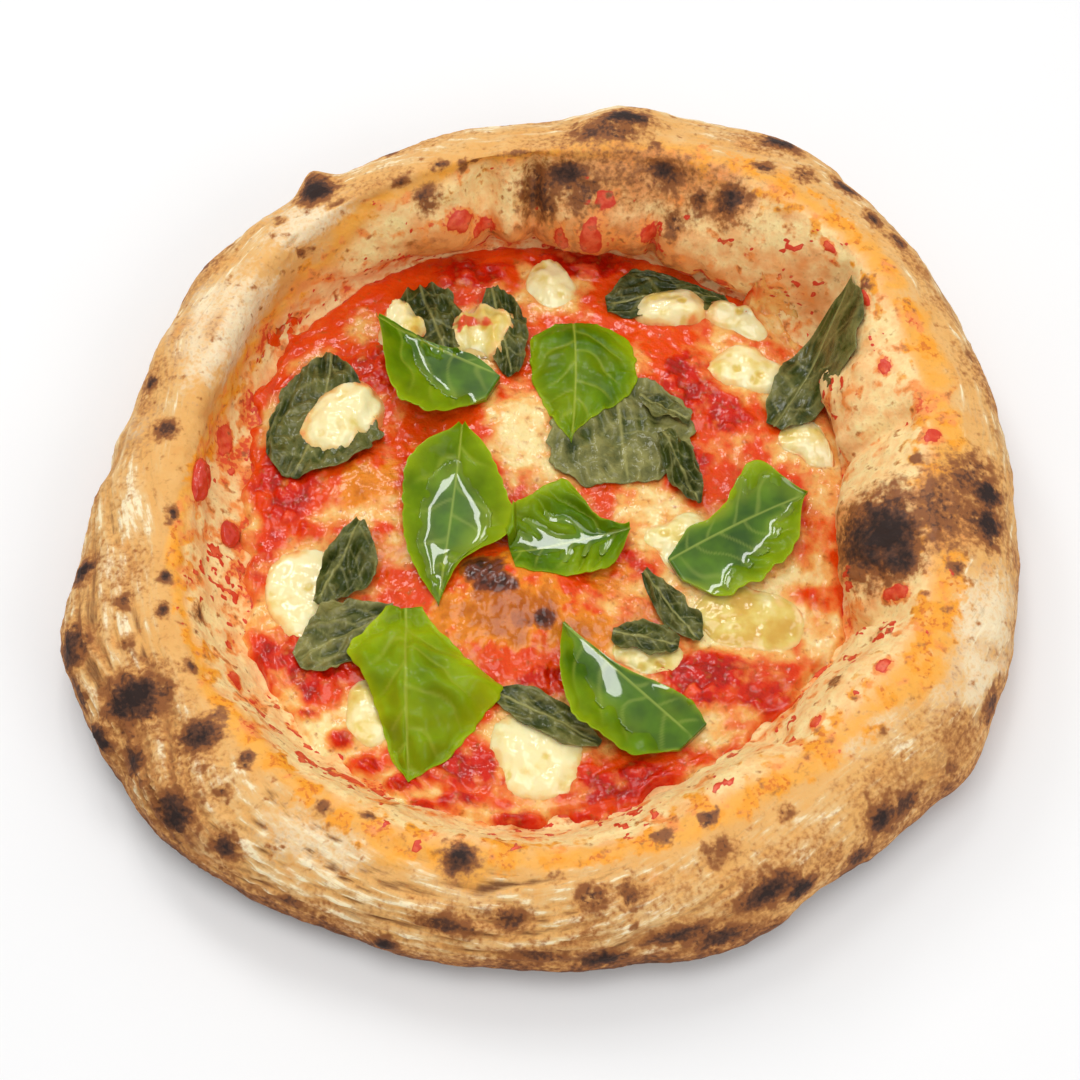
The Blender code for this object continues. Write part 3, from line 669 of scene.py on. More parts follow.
sauce = {
    # colours over the plain pulp: mask, colour, where it starts and is full, how ragged, pattern
    "colours": (
        ("thick", "#CE1C00", 0.3, 0.9, 1.6, "flesh"),
        ("lump", "#EC5226", 0.50, 1.05, 1.0, "pulp"),
        ("deep", "#940F02", 0.35, 0.9, 0.8, "pulp"),
        ("film", "#EC7F3C", 0.10, 0.42, 1.2, "flesh"),
        ("film", "#F2B25E", 0.34, 0.72, 1.4, "flesh"),
        ("film", "#F8DE9A", 0.62, 1.05, 1.6, "flesh"),
        ("bare", "#EC8A1C", 0.15, 0.6, 1.2, "flesh"),
        ("bare", "#B65A00", 0.45, 1.15, 1.2, "flesh"),
        ("char", "#B05A18", 0.04, 0.30, 0.9, "pulp"),
        ("char", "#6E3218", 0.30, 0.62, 0.9, "pulp"),
        ("char", "#3C1C10", 0.66, 1.02, 1.1, "pulp"),
    ),
    "stationsRound": 560,
    "rings": 150,
    "depth": 2.3,
    "pulpHeight": 2.1,
    "underside": 3.6,
    # melted cheese and oil run into the tomato: x, y, half length, half width, strength
    "cheeseFilm": (
        (-6, 42, 13, 19, 1.0), (4, 26, 12, 10, 0.7), (80, -2, 12, 18, 0.8), (84, -28, 10, 15, 0.85),
        (66, -40, 14, 10, 0.7), (36, 16, 12, 12, 0.9), (-54, 12, 22, 8, 0.6), (26, 68, 9, 10, 0.5),
        (48, -62, 19, 9, 0.75), (14, -60, 18, 8, 0.6), (-48, -2, 13, 7, 0.5), (66, 84, 14, 9, 0.6),
        (26, -18, 13, 13, 0.65), (-40, 66, 12, 8, 0.5), (27, -46, 9, 9, 0.6), (60, 36, 12, 10, 0.35),
        (90, 22, 8, 14, 0.6), (-20, 70, 10, 9, 0.6), (70, -8, 16, 12, 0.85), (44, -16, 12, 9, 0.8),
        (-64, 66, 12, 6, 0.3), (-30, -40, 14, 7, 0.3), (8, 12, 10, 9, 0.5),
        (-74, -17, 20, 23, 0.75), (0, -70, 22, 21, 0.7), (-66, 49, 20, 18, 0.45), (-19, 83, 17, 16, 0.6),
        (4, 99, 14, 13, 0.7), (66, 66, 21, 15, 0.6), (88, 38, 17, 13, 0.75), (42, 3, 16, 15, 0.85),
        (62, -25, 26, 18, 0.95), (-49, -57, 12, 14, 0.6), (32, -38, 14, 10, 0.8), (-56, -30, 18, 10, 0.5),
        (78, 84, 12, 10, 0.6), (12, -52, 14, 7, 0.6), (56, 8, 10, 8, 0.6),
        (-66, -65, 15, 11, 1.0), (-44, -84, 18, 10, 1.0), (-78, -50, 8, 12, 0.95),
        (-18, -92, 18, 7, 0.9), (-8, -98, 14, 7, 0.7), (22, -96, 14, 7, 0.7), (-84, 44, 8, 12, 0.75),
        (-72, 66, 9, 9, 0.65), (-58, 84, 10, 7, 0.5), (-92, 4, 7, 16, 0.7), (-90, -30, 7, 12, 0.7),
        (52, -82, 14, 8, 0.7), (82, -52, 9, 12, 0.7),
    ),
    # dough that shows through, toasted and oily
    "bareDough": (
        (-10, -24, 20, 12, 0.95), (12, -30, 13, 9, 0.75), (-2, -6, 14, 7, 0.6), (-54, 22, 12, 8, 0.65),
        (-30, -24, 9, 8, 0.6), (22, -12, 8, 9, 0.5),
    ),
    "char": (
        (-17, -10, 6.0, 4.6, 0.85), (-13, -16, 6.0, 4.4, 0.95), (1, -26, 3.8, 3.2, 0.85),
        (-5, -27, 4, 3, 0.4),
    ),
    # thick crushed tomato: x, y, half length, half width, strength
    "thick": (
        (-70, -40, 20, 13, 1.0), (-80, 22, 11, 22, 0.9), (-50, 66, 20, 12, 0.8), (50, -46, 17, 10, 1.0),
        (12, 108, 20, 7, 1.0), (-22, 106, 16, 7, 0.9), (48, 60, 12, 16, 1.0), (-24, -74, 20, 9, 0.9),
        (22, -80, 22, 8, 0.9), (-38, 22, 9, 14, 0.7), (30, -6, 9, 7, 0.7), (82, 4, 8, 10, 0.6),
        (66, -50, 12, 12, 0.8), (-86, -4, 7, 12, 0.7), (60, 50, 9, 10, 0.9), (6, -46, 12, 5, 0.9),
        (-40, -80, 7, 3.5, 1.0), (-24, -86, 8, 4, 1.0), (-60, -66, 5, 4, 1.0), (-70, -58, 4, 3, 1.0),
        (-8, -92, 9, 4, 1.0), (-50, -74, 4, 3, 1.0), (-34, -88, 5, 3, 0.9), (12, -92, 7, 4, 0.9),
        (88, 60, 9, 9, 0.7), (18, 48, 7, 7, 0.4), (46, 30, 9, 11, 0.9), (30, -22, 7, 5, 0.7),
        (-58, 40, 9, 7, 0.7), (-46, -18, 6, 6, 0.4), (84, -20, 6, 6, 0.7), (20, -16, 5, 5, 0.6),
    ),
}


def crushedTomato():
    # plum tomato crushed by hand and cooked through: a wet red pulp with paler flesh,
    # an oil film on top that gives small sharp highlights
    material, tree, shader = newMaterial("crushedTomato", {
        "IOR": 1.35, "Specular IOR Level": 0.15, "Coat Weight": 0.75, "Coat Roughness": 0.04,
        "Coat IOR": 1.42, "Subsurface Weight": 0.15,
        "Subsurface Radius": (2.5 * mm, 0.7 * mm, 0.3 * mm), "Subsurface Scale": 1.0})
    place = addNode(tree, "ShaderNodeTexCoord").outputs["Object"]
    pulp = addNode(tree, "ShaderNodeTexNoise", {"Vector": place, "Scale": 1000 / 2.4, "Detail": 4.0})
    flesh = addNode(tree, "ShaderNodeTexNoise", {"Vector": place, "Scale": 1000 / 6.5, "Detail": 3.0})

    base = addNode(tree, "ShaderNodeMix", {0: flesh.outputs["Fac"], 6: linear("#DC2A00"),
                                           7: linear("#F05C0A")}, data_type="RGBA").outputs[2]
    base, _ = layered(tree, base, sauce["colours"], {"pulp": pulp, "flesh": flesh})
    tree.links.new(base, shader.inputs["Base Color"])
    rough = addNode(tree, "ShaderNodeMapRange", {0: pulp.outputs["Fac"], 1: 0.3, 2: 0.7, 3: 0.22, 4: 0.50})
    tree.links.new(rough.outputs[0], shader.inputs["Roughness"])
    for socket, strength, depth in (("Normal", 1.0, 0.8), ("Coat Normal", 0.25, 0.5)):
        bump = addNode(tree, "ShaderNodeBump", {"Height": pulp.outputs["Fac"], "Strength": strength,
                                                "Distance": depth * mm})
        tree.links.new(bump.outputs["Normal"], shader.inputs[socket])
    return material


def patches(x, y, rows, seed):
    # the strongest of several soft patches at each place
    ragged = 0.40 * roughNoise(pointsAt(x, y), 9, 3, seed)
    return np.max([
        strength * smooth(1.35, 0.45, np.hypot((x - px) / halfLong, (y - py) / halfWide) + ragged)
        for px, py, halfLong, halfWide, strength in rows], 0)


def makeSauce():
    angles = np.linspace(0, 2 * math.pi, sauce["stationsRound"], endpoint=False)
    shares = np.linspace(0.012, 1, sauce["rings"]) ** 0.85
    # it runs up the inner slope where that is gentle, and ends under the wall where it leans over
    gentle = smooth(-1.0, -6.0, aroundRim(rim["wallLean"], angles))
    well = aroundRim(rim["wellRadius"], angles)
    limit = well + 1.5 + 4.0 * gentle
    radius = shares[:, None] * limit[None, :]
    x, y = radius * np.cos(angles), radius * np.sin(angles)
    flat = pointsAt(x, y)
    film, bare, thick, char = (
        patches(x, y, sauce[key], 201 + 10 * number)
        for number, key in enumerate(("cheeseFilm", "bareDough", "thick", "char")))
    film = film * (1 - 0.8 * thick)
    calm = np.clip(1 - 0.75 * np.maximum(film, bare), 0, 1)

    warped = flat + 1.4 * np.stack([noiseAt(flat, 4, 241), noiseAt(flat, 4, 242), 0 * x], -1)
    nearest, number = cellsAt(warped, 5.2, 251)
    chunk = np.clip(1 - (nearest / 0.62) ** 2, 0, 1) ** 0.7 * (0.25 + 0.75 * number)
    nearest, number = cellsAt(warped, 2.6, 255)
    crumbs = np.clip(1 - (nearest / 0.6) ** 2, 0, 1) * number
    small = 1 - np.abs(roughNoise(flat, 3.4, 3, 261))
    height = sauce["depth"] + 0.8 * roughNoise(flat, 17, 2, 271) + 0.8 * thick
    height += sauce["pulpHeight"] * chunk * (0.35 + 0.65 * thick) * calm
    height += 0.95 * crumbs * (0.4 + 0.6 * thick) * calm
    height += 0.5 * (small - 0.6) * calm * (0.5 + 0.5 * thick)
    height += 0.22 * roughNoise(flat, 2.4, 2, 281) + 0.30 * roughNoise(flat, 5.0, 2, 285)
    # the layer thins to nothing along a ragged line past the foot of the rim
    wander = 4.5 * roughNoise(flat, 13, 3, 291)
    away = (well + 1.2 + 0.8 * gentle)[None, :] - radius + wander * (0.4 + 0.6 * gentle[None, :])
    thin = smooth(-1.5, 3.0, away)
    ground = floorAt(x, y)
    slope = np.where(radius > well[None, :] - 1.5, pile.at(x, y), 0)
    ground = np.maximum(ground, slope * smooth(0.0, 0.6, gentle)[None, :])
    top = ground + height * thin - 1.3 * (1 - thin)
    points = pointsAt(x, y, top)
    lowest = pointsAt(x[-1], y[-1], sauce["underside"])
    middle = pointsAt(0.5 * x[-1], 0.5 * y[-1], sauce["underside"])
    everything = np.concatenate([points, lowest[None], middle[None]])
    rows, count = len(everything), len(angles)
    lump = np.clip(chunk * (0.35 + 0.65 * thick) * calm + 0.3 * (small - 0.5) + 0.3 * crumbs, 0, 1)
    deep = np.clip(thick * (0.9 - chunk) * 0.8, 0, 1) * calm
    masks = {}
    for key, values in (("film", film), ("bare", bare), ("char", char), ("lump", lump), ("deep", deep),
                        ("thick", thick)):
        masks[key] = np.concatenate([values, values[-1:], values[-1:]])
    pile.add(points)
    makePiece("tomato_sauce_crushed", everything, gridQuads(rows, count, True), masks,
              crushedTomato(), ["tomato_sauce"], endCaps(rows, count))


makeSauce()


basil = {
    "rows": 84,             # points along the midrib of a fresh leaf
    "columns": 61,          # points across
    "bakedRows": 66,
    "bakedColumns": 47,
    "thickness": 0.35,
    # leaves baked on the pizza, dark and dry: name, base x, y, tip x, y, nine half widths left and
    # right from base to tip, bow of the midrib, crumple, curl of the edges, how grey
    "bakedUnder": (
        ("left", -68, 72, -78, 24, (2, 9, 14, 18, 20, 20, 17, 12, 3), (2, 8, 13, 17, 18, 19, 18, 13, 4), 2,
         1.3, 2.6, 0.25),
        ("back_left", -40, 99, -30, 70, (3, 7, 9, 8, 10, 9, 8, 6, 2), (4, 9, 12, 14, 15, 14, 11, 8, 3), 0,
         2.4, 2.0, 0.1),
        ("back_left_strip", -16, 98, -9, 64, (2, 5, 7, 8, 8, 8, 6, 5, 2), (2, 4, 5, 4, 3, 4, 5, 4, 2), 0,
         2.2, 1.5, 0.15),
        ("back", 66, 98, 22, 92, (3, 5, 8, 10, 11, 10, 8, 6, 3), (3, 6, 8, 10, 12, 13, 12, 8, 3), -2,
         1.2, 1.0, 0.0),
        ("centre", 24, 62, 28, 23, (6, 14, 19, 22, 23, 22, 21, 17, 9),
         (6, 12, 17, 21, 23, 24, 23, 21, 13), 0, 1.1, 0.6, 1.0),
    ),
    "bakedOver": (
        ("left_fold", -56, 7, -68, -22, (2, 6, 9, 11, 12, 11, 8, 5, 2), (1, 3, 4, 5, 5, 4, 3, 2, 1), 0,
         1.9, 2.5, 0.15),
        ("left_low", -44, -23, -74, -40, (2, 6, 9, 10, 9, 8, 8, 7, 3), (2, 6, 8, 10, 11, 10, 8, 5, 2), 0,
         1.1, 0.6, 0.75),
        ("right_strip", 32, -10, 48, -33, (1, 2, 4, 5, 5, 4, 5, 4, 2), (1, 2, 3, 4, 5, 5, 4, 3, 2), 0,
         1.8, 1.5, 0.2),
        ("right_scrap", 22, -31, 42, -35, (1, 3, 5, 6, 6, 5, 5, 3, 2), (2, 4, 5, 4, 5, 6, 5, 4, 2), 0,
         1.8, 1.2, 0.25),
        ("front_strip", -16, -49, 18, -67, (1, 3, 5, 6, 6, 6, 5, 3, 1), (1, 3, 4, 5, 6, 6, 6, 4, 2), 0,
         1.0, 0.8, 0.4),
        # two torn ends of the middle leaf
        ("centre_fold", 39, 40, 50, 15, (2, 4, 5, 6, 6, 5, 4, 3, 1), (2, 3, 4, 5, 5, 5, 4, 3, 1), 0,
         2.2, 2.0, 0.1),
        ("centre_end", 32, 54, 48, 45, (1, 2, 3, 4, 4, 4, 3, 2, 1), (1, 2, 3, 4, 4, 3, 3, 2, 1), 0,
         1.6, 1.2, 0.35),
    ),
    "leaning": ("leaning", 75, 44, 99, 82, (3, 6, 8, 9, 9, 8, 6, 4, 0), (3, 8, 11, 13, 13, 12, 10, 6, 0), 0,
                1.3, 1.5, 0.4),
    # leaves laid on afterwards: name, base x, y, tip x, y, nine half widths left and right from
    # base to tip, bow, lift of base and tip, arch, cup left and right, edge wave, quilting between
    # the veins, low folds, oil level over the lowest point, how pale
    "fresh": (
        ("left", -24.7, 41, -31, -22, (1, 8.3, 12.5, 16.5, 19.2, 17.3, 6.5, 2.5, 0),
         (1, 10.5, 15.2, 15.7, 14.8, 13.5, 10.8, 6.3, 0), 0, 9, 5, -6, 8.0, 7.0, 1.2, 0.6, 0.6, 2.4, 0.22),
        ("middle", 28, 5, -9, -4, (1, 7.5, 12.6, 12.8, 12.4, 11.5, 10, 8.5, 6),
         (1, 3, 6, 19.0, 21, 20, 18.4, 15.5, 7), 0, 4, 2, -2, 4.0, 5.0, 2.4, 1.5, 1.3, 1.8, 0.12),
        ("right", 40, -6, 84, 18, (1, 4, 6.7, 5.5, 8, 12, 16, 14, 0),
         (8, 18, 20.5, 21, 20.6, 18.5, 14.5, 6, 0), 1, 4, 8, -2, 4.0, 7.0, 1.4, 0.8, 0.6, 3.0, 0.25),
        ("back", 11, 85, 10, 37, (8, 17, 18.5, 19.2, 19, 17, 9, 2, 0),
         (6, 13.5, 14.2, 14.3, 13.4, 11.4, 8.6, 5, 0), 1, 2, 1, 4, -3.0, -4.0, 1.4, 0.6, 0.9, 0, 0.10),
        ("back_left", -53, 83, -13, 62, (1, 1, 1, 1, 1.5, 2.5, 3, 2, 0),
         (1, 7, 15, 22.3, 27, 27, 25, 20, 9), 0, 10, 3, -2, 1.0, 12.0, 1.2, 0.6, 0.8, 4.0, 0.0),
        ("front_left", -41, -22, -38.5, -80, (5, 9, 15, 20.5, 28, 23, 18, 11, 0),
         (6, 12, 17.5, 14, 10.5, 8.5, 6.5, 4.5, 0), 0, 4, 0, 15, -8.0, -6.0, 4.6, 0.9, 4.2, 0, 0.44),
        ("front_right", 7, -28, 45, -66, (0.5, 0.5, 1, 1.5, 3, 5.5, 7.5, 8, 6),
         (0.5, 8, 14.5, 19, 21.5, 20.5, 19.5, 16, 6), 0, 6, 4, -2, 2.0, 10.0, 1.4, 0.6, 0.7, 3.2, 0.12),
    ),
}


basilLooks = {
    # two tones of the blade, its pale parts, its veins, roughness, coat, coat roughness, bump; on a baked
    # leaf the pale part also serves as a painted highlight on the pleat ridges
    "freshBasil": ("#385A00", "#628600", "#A4B80C", "#A8B440", 0.40, 0.14, 0.12, 0.18),
    "oiledBasil": ("#2C5000", "#567E00", "#A4B818", "#AEBC50", 0.16, 1.0, 0.02, 0.03),
    "bakedBasil": ("#242E0C", "#465018", "#908C50", "#A8A462", 0.42, 0.45, 0.12, 1.0),
}


def basilBlade(name):
    # the leaf's own skin: waxy and bright when fresh, dull and nearly black-green once baked;
    # under a clear film of olive oil it is the same green with a mirror surface
    toneA, toneB, palePart, veinTone, roughness, coat, coatRoughness, relief = basilLooks[name]
    isBaked = name == "bakedBasil"
    material, tree, shader = newMaterial(name, {
        "Roughness": roughness, "IOR": 1.40, "Specular IOR Level": 0.12,
        "Coat Weight": coat, "Coat Roughness": coatRoughness, "Coat IOR": 1.47,
        "Subsurface Weight": 0.0 if isBaked else 0.25,
        "Subsurface Radius": (0.8 * mm, 1.6 * mm, 0.3 * mm), "Subsurface Scale": 1.0})
    place = addNode(tree, "ShaderNodeTexCoord").outputs["Object"]
    vein = addNode(tree, "ShaderNodeAttribute", attribute_name="vein").outputs["Fac"]
    pale = addNode(tree, "ShaderNodeAttribute", attribute_name="pale").outputs["Fac"]
    if isBaked:
        cells = addNode(tree, "ShaderNodeTexNoise", {"Vector": place, "Scale": 1000 / 2.2, "Detail": 4.0,
                                                     "Roughness": 0.65, "Distortion": 0.6})
        mottled = addNode(tree, "ShaderNodeMath", {0: cells.outputs["Fac"], 1: 1.0, 2: -0.5},
                          operation="MULTIPLY_ADD")
        pale = addNode(tree, "ShaderNodeMath", {0: pale, 1: mottled.outputs[0]}, operation="ADD",
                       use_clamp=True).outputs[0]
    else:
        cells = addNode(tree, "ShaderNodeTexNoise", {"Vector": place, "Scale": 1000 / 0.9, "Detail": 2.0})
    patch = addNode(tree, "ShaderNodeTexNoise", {"Vector": place, "Scale": 1000 / 11, "Detail": 3.0})
    spread = addNode(tree, "ShaderNodeMapRange", {0: patch.outputs["Fac"], 1: 0.3, 2: 0.7})
    base = addNode(tree, "ShaderNodeMix", {0: spread.outputs[0], 6: linear(toneA), 7: linear(toneB)},
                   data_type="RGBA").outputs[2]
    strength = addNode(tree, "ShaderNodeMath", {0: vein, 1: 0.7}, operation="MULTIPLY").outputs[0]
    for amount, tone in ((pale, palePart), (strength, veinTone)):
        base = addNode(tree, "ShaderNodeMix", {0: amount, 6: base, 7: linear(tone)},
                       data_type="RGBA").outputs[2]
    tree.links.new(base, shader.inputs["Base Color"])
    bump = addNode(tree, "ShaderNodeBump", {"Height": cells.outputs["Fac"], "Strength": relief,
                                            "Distance": (0.8 if isBaked else 0.2) * mm})
    tree.links.new(bump.outputs["Normal"], shader.inputs["Normal"])
    return material


freshBasil, oiledBasil, bakedBasil = (basilBlade(name) for name in basilLooks)


def bladeGrid(leaf, seed, isFresh):
    # plan places of a leaf's grid with t from base to tip, s from -1 to 1 across, and its veins
    name, baseX, baseY, tipX, tipY, left, right, bow = leaf[:8]
    t = np.linspace(0, 1, basil["rows" if isFresh else "bakedRows"])[:, None]
    s = np.linspace(-1, 1, basil["columns" if isFresh else "bakedColumns"])[None, :]
    along = np.array([tipX - baseX, tipY - baseY])
    length = np.linalg.norm(along)
    across = np.array([-along[1], along[0]]) / length
    # a slightly toothed edge, uneven from leaf to leaf
    edgePlace = pointsAt(t * length, 0 * t, seed * 17.0)
    uneven = roughNoise(edgePlace, 6, 2, seed) + (s > 0) * 0.3 * noiseAt(edgePlace, 9, 3)
    uneven = 1 + (0.05 if isFresh else 0.14) * uneven
    teeth = 1 + 0.022 * np.abs(np.sin(t * length / 4.4 * math.pi + 0.7 * noiseAt(edgePlace, 9, seed + 5)))
    reach = np.where(s > 0, openCurve(left, t), openCurve(right, t)) * uneven * teeth
    bend = bow * 4 * t * (1 - t)
    x = baseX + along[0] * t + across[0] * (s * reach + bend)
    y = baseY + along[1] * t + across[1] * (s * reach + bend)
    # side veins leave the midrib and curve towards the tip
    drift = 0.10 * noiseAt(pointsAt(x, y, seed), 12, seed + 6)
    phase = (t - np.abs(s) ** 1.3 * reach / length * 0.75 + drift) * 5.0 + (s > 0) * 0.45
    fromVein = np.abs(phase - np.round(phase)) * 2
    sideVein = smooth(0.22, 0.02, fromVein) * smooth(0.95, 0.5, np.abs(s)) * smooth(0.02, 0.12, t)
    midrib = smooth(1.0, 0.3, np.abs(s * reach) / 0.55) * smooth(1.0, 0.9, t)
    swelling = np.sin(np.clip(fromVein, 0, 1) * math.pi / 2) ** 0.9 * smooth(0.0, 0.25, np.abs(s))
    swelling = swelling * smooth(1.05, 0.7, np.abs(s)) * smooth(0.0, 0.15, t) * smooth(1.0, 0.85, t)
    return t, s, x, y, reach, np.maximum(midrib, 0.5 * sideVein), swelling, midrib


def leafSolid(name, x, y, z, masks, material, nodes):
    # a thin leaf from a grid of its upper side
    rows, columns = x.shape
    upper = pointsAt(x, y, z)
    lower = pointsAt(x, y, z - basil["thickness"])
    quads = gridQuads(rows, columns, False)
    count = rows * columns
    edge = [*range(columns), *(r * columns + columns - 1 for r in range(1, rows)),
            *((rows - 1) * columns + c for c in range(columns - 2, -1, -1)),
            *(r * columns for r in range(rows - 2, 0, -1))]
    wall = [(a, a + count, b + count, b) for a, b in zip(edge, edge[1:] + edge[:1])]
    allQuads = np.concatenate([quads, quads[:, ::-1] + count, np.array(wall)])
    doubled = {key: np.concatenate([v.reshape(-1), v.reshape(-1)]) for key, v in masks.items()}
    points = np.concatenate([upper.reshape(-1, 3), lower.reshape(-1, 3)])
    makePiece(name, points, allQuads, doubled, material, nodes)
    between = 0.5 * (upper[:-1, :-1] + upper[1:, 1:])
    pile.add(np.concatenate([upper.reshape(-1, 3), between.reshape(-1, 3)]))


def makeBakedLeaf(leaf, seed, steep=False):
    name, crumple, curl, grey = leaf[0], leaf[8], leaf[9], leaf[10]
    t, s, x, y, reach, vein, swelling, midrib = bladeGrid(leaf, seed, False)
    if not steep:
        x, y = insideWell(x, y, 2.0)
    flat = pointsAt(x, y, seed * 9.0)
    ground = pile.softened(3).at(x, y)
    # dried in the oven: pleats that run along the leaf, the ridges paler as a painted highlight, the hollows
    # nearly black as painted shade
    length = math.hypot(leaf[3] - leaf[1], leaf[4] - leaf[2])
    twist = 2.5 * noiseAt(flat, 16, seed + 301)
    ownPlace = np.stack([t * length / 15 + 0 * s, (s * reach + twist) / 4.6, 0 * t + 0 * s + seed], -1)
    pleats = 1 - np.abs(roughNoise(ownPlace, 1.0, 2, seed + 310)) * 1.5
    creases = 0.5 + 0.6 * roughNoise(flat, 3.2, 2, seed + 320)
    z = ground + 0.4 + crumple * (1.3 * pleats + 0.75 * creases - 0.35) + 0.4 * swelling
    z = z + curl * np.abs(s) ** 3 * (0.4 + 0.8 * noiseAt(flat, 12, seed + 330))
    if steep:
        z = pile.softened(12).at(x, y) + 1.2 + 0.9 * pleats + 0.5 * creases - 0.8 * midrib
    z = np.maximum(z, pile.at(x, y) + 0.30)
    ridge = 0.7 * pleats + 0.3 * creases
    # the leaf's own grey, with a painted highlight on the pleat ridges, painted shade in the hollows, and
    # paler edges
    pale = np.clip(grey * (0.6 + 0.5 * roughNoise(flat, 10, 2, seed + 340)) + 0.8 * (ridge - 0.55)
                   + 0.35 * np.abs(s) ** 6, 0, 1)
    ownNode = [] if name.startswith("centre_") else ["basil_baked_" + name]
    leafSolid("basil_baked_" + name + "_crumpled", x, y, z, {"vein": vein, "pale": pale}, bakedBasil,
              ownNode)


for number, leaf in enumerate(basil["bakedUnder"]):
    makeBakedLeaf(leaf, 400 + number)


mozzarella = {
    # colours over the curd: mask, colour, where it starts and is full, how ragged, pattern
    "colours": (
        ("butterfat", "#E4CC6A", 0.25, 0.9, 1.2, "curd"),
        ("butterfat", "#D9B04A", 0.75, 1.2, 1.2, "curd"),
        ("thin", "#F4CC80", 0.25, 0.80, 1.1, "curd"),
        ("thin", "#EE9450", 0.72, 1.05, 1.1, "curd"),
        ("tomato", "#DD5530", 0.55, 0.8, 0.6, "curd"),
    ),
    "stationsRound": 84,
    "rings": 30,
    "skirt": 0.8,  # how far the edge of a pool goes down into what is under it
    # name, x, y, twelve reaches counter-clockwise from +x, depth, turn, unevenness, how yellow,
    # how much tomato
    "pools": (
        ("left", -74, -17, (15, 17, 20, 19, 17, 16, 15, 14, 14, 18, 18, 13), 4.4, 0, 0.08, 0.15, 0.0),
        ("front", -1, -71, (16, 16, 17, 18, 19, 17, 14, 13, 16, 18, 18, 16), 4.6, 0, 0.10, 0.20, 0.25),
        ("on_leaf_left", -65, 47, (15, 18, 17, 14, 12, 11, 12, 15, 15, 14, 12, 11), 4.4, 0, 0.10, 0.25, 0.0),
        ("back_left", -19, 82, (10, 10, 9, 12, 11, 9, 10, 12, 14, 13, 11, 9), 3.0, 0, 0.18, 0.7, 0.6),
        ("back", 4, 100, (10, 9, 10, 13, 14, 12, 10, 8, 9, 10, 9, 9), 2.4, 0, 0.14, 0.35, 0.35),
        ("on_leaf_back", 43, 91, (13, 12, 10, 9, 9, 11, 12, 11, 9, 8, 9, 12), 4.4, 6, 0.04, 0.35, 0.0),
        ("back_right", 67, 88, (12, 10, 8, 8, 9, 12, 13, 10, 8, 9, 12, 13), 3.0, 0, 0.12, 0.4, 0.25),
        ("right_upper", 67, 67, (15, 10, 11, 11, 12, 13, 14, 11, 9, 9, 12, 16), 4.6, 0, 0.08, 0.35, 0.2),
        ("right", 88, 38, (11, 9, 10, 11, 13, 14, 13, 10, 9, 9, 10, 13), 2.6, 0, 0.16, 0.4, 0.2),
        ("centre", 42, 3, (12, 14, 14, 10, 8, 10, 12, 10, 12, 15, 14, 12), 2.2, 0, 0.22, 0.5, 0.3),
        ("right_lower", 62, -25, (23, 18, 14, 13, 15, 18, 20, 17, 13, 13, 16, 21), 2.4, 0, 0.18, 0.95, 0.1),
        ("front_left", -51, -57, (9, 9, 10, 13, 12, 9, 8, 9, 12, 14, 12, 10), 3.2, 0, 0.10, 0.6, 0.1),
        ("front_right", 32, -38, (12, 10, 7, 7, 9, 12, 11, 8, 7, 8, 9, 11), 2.2, 0, 0.18, 0.5, 0.3),
        ("far_left", -46, 84, (9, 8, 8, 10, 11, 9, 8, 9, 11, 12, 10, 9), 2.6, 0, 0.16, 0.5, 0.4),
    ),
}


def meltedMozzarella():
    # fresh cow's milk mozzarella melted in the oven: milky and soft-lit inside, with a wet skin,
    # yellow butterfat in its hollows and thin pink edges where tomato shows through
    material, tree, shader = newMaterial("meltedMozzarella", {
        "Roughness": 0.32, "IOR": 1.40, "Specular IOR Level": 0.25, "Coat Weight": 0.8,
        "Coat Roughness": 0.05, "Subsurface Weight": 0.35,
        "Subsurface Radius": (3 * mm, 2.2 * mm, 1.3 * mm), "Subsurface Scale": 1.0})
    place = addNode(tree, "ShaderNodeTexCoord").outputs["Object"]
    curd = addNode(tree, "ShaderNodeTexNoise", {"Vector": place, "Scale": 1000 / 5, "Detail": 4.0})
    skin = addNode(tree, "ShaderNodeTexNoise", {"Vector": place, "Scale": 1000 / 1.8, "Detail": 2.0})

    base = addNode(tree, "ShaderNodeMix", {0: curd.outputs["Fac"], 6: linear("#FCF2C4"),
                                           7: linear("#F6E49C")}, data_type="RGBA").outputs[2]
    base, _ = layered(tree, base, mozzarella["colours"], {"curd": curd})
    tree.links.new(base, shader.inputs["Base Color"])
    bump = addNode(tree, "ShaderNodeBump", {"Height": skin.outputs["Fac"], "Strength": 0.35,
                                            "Distance": 0.3 * mm})
    tree.links.new(bump.outputs["Normal"], shader.inputs["Normal"])
    return material


mozzarellaMelt = meltedMozzarella()


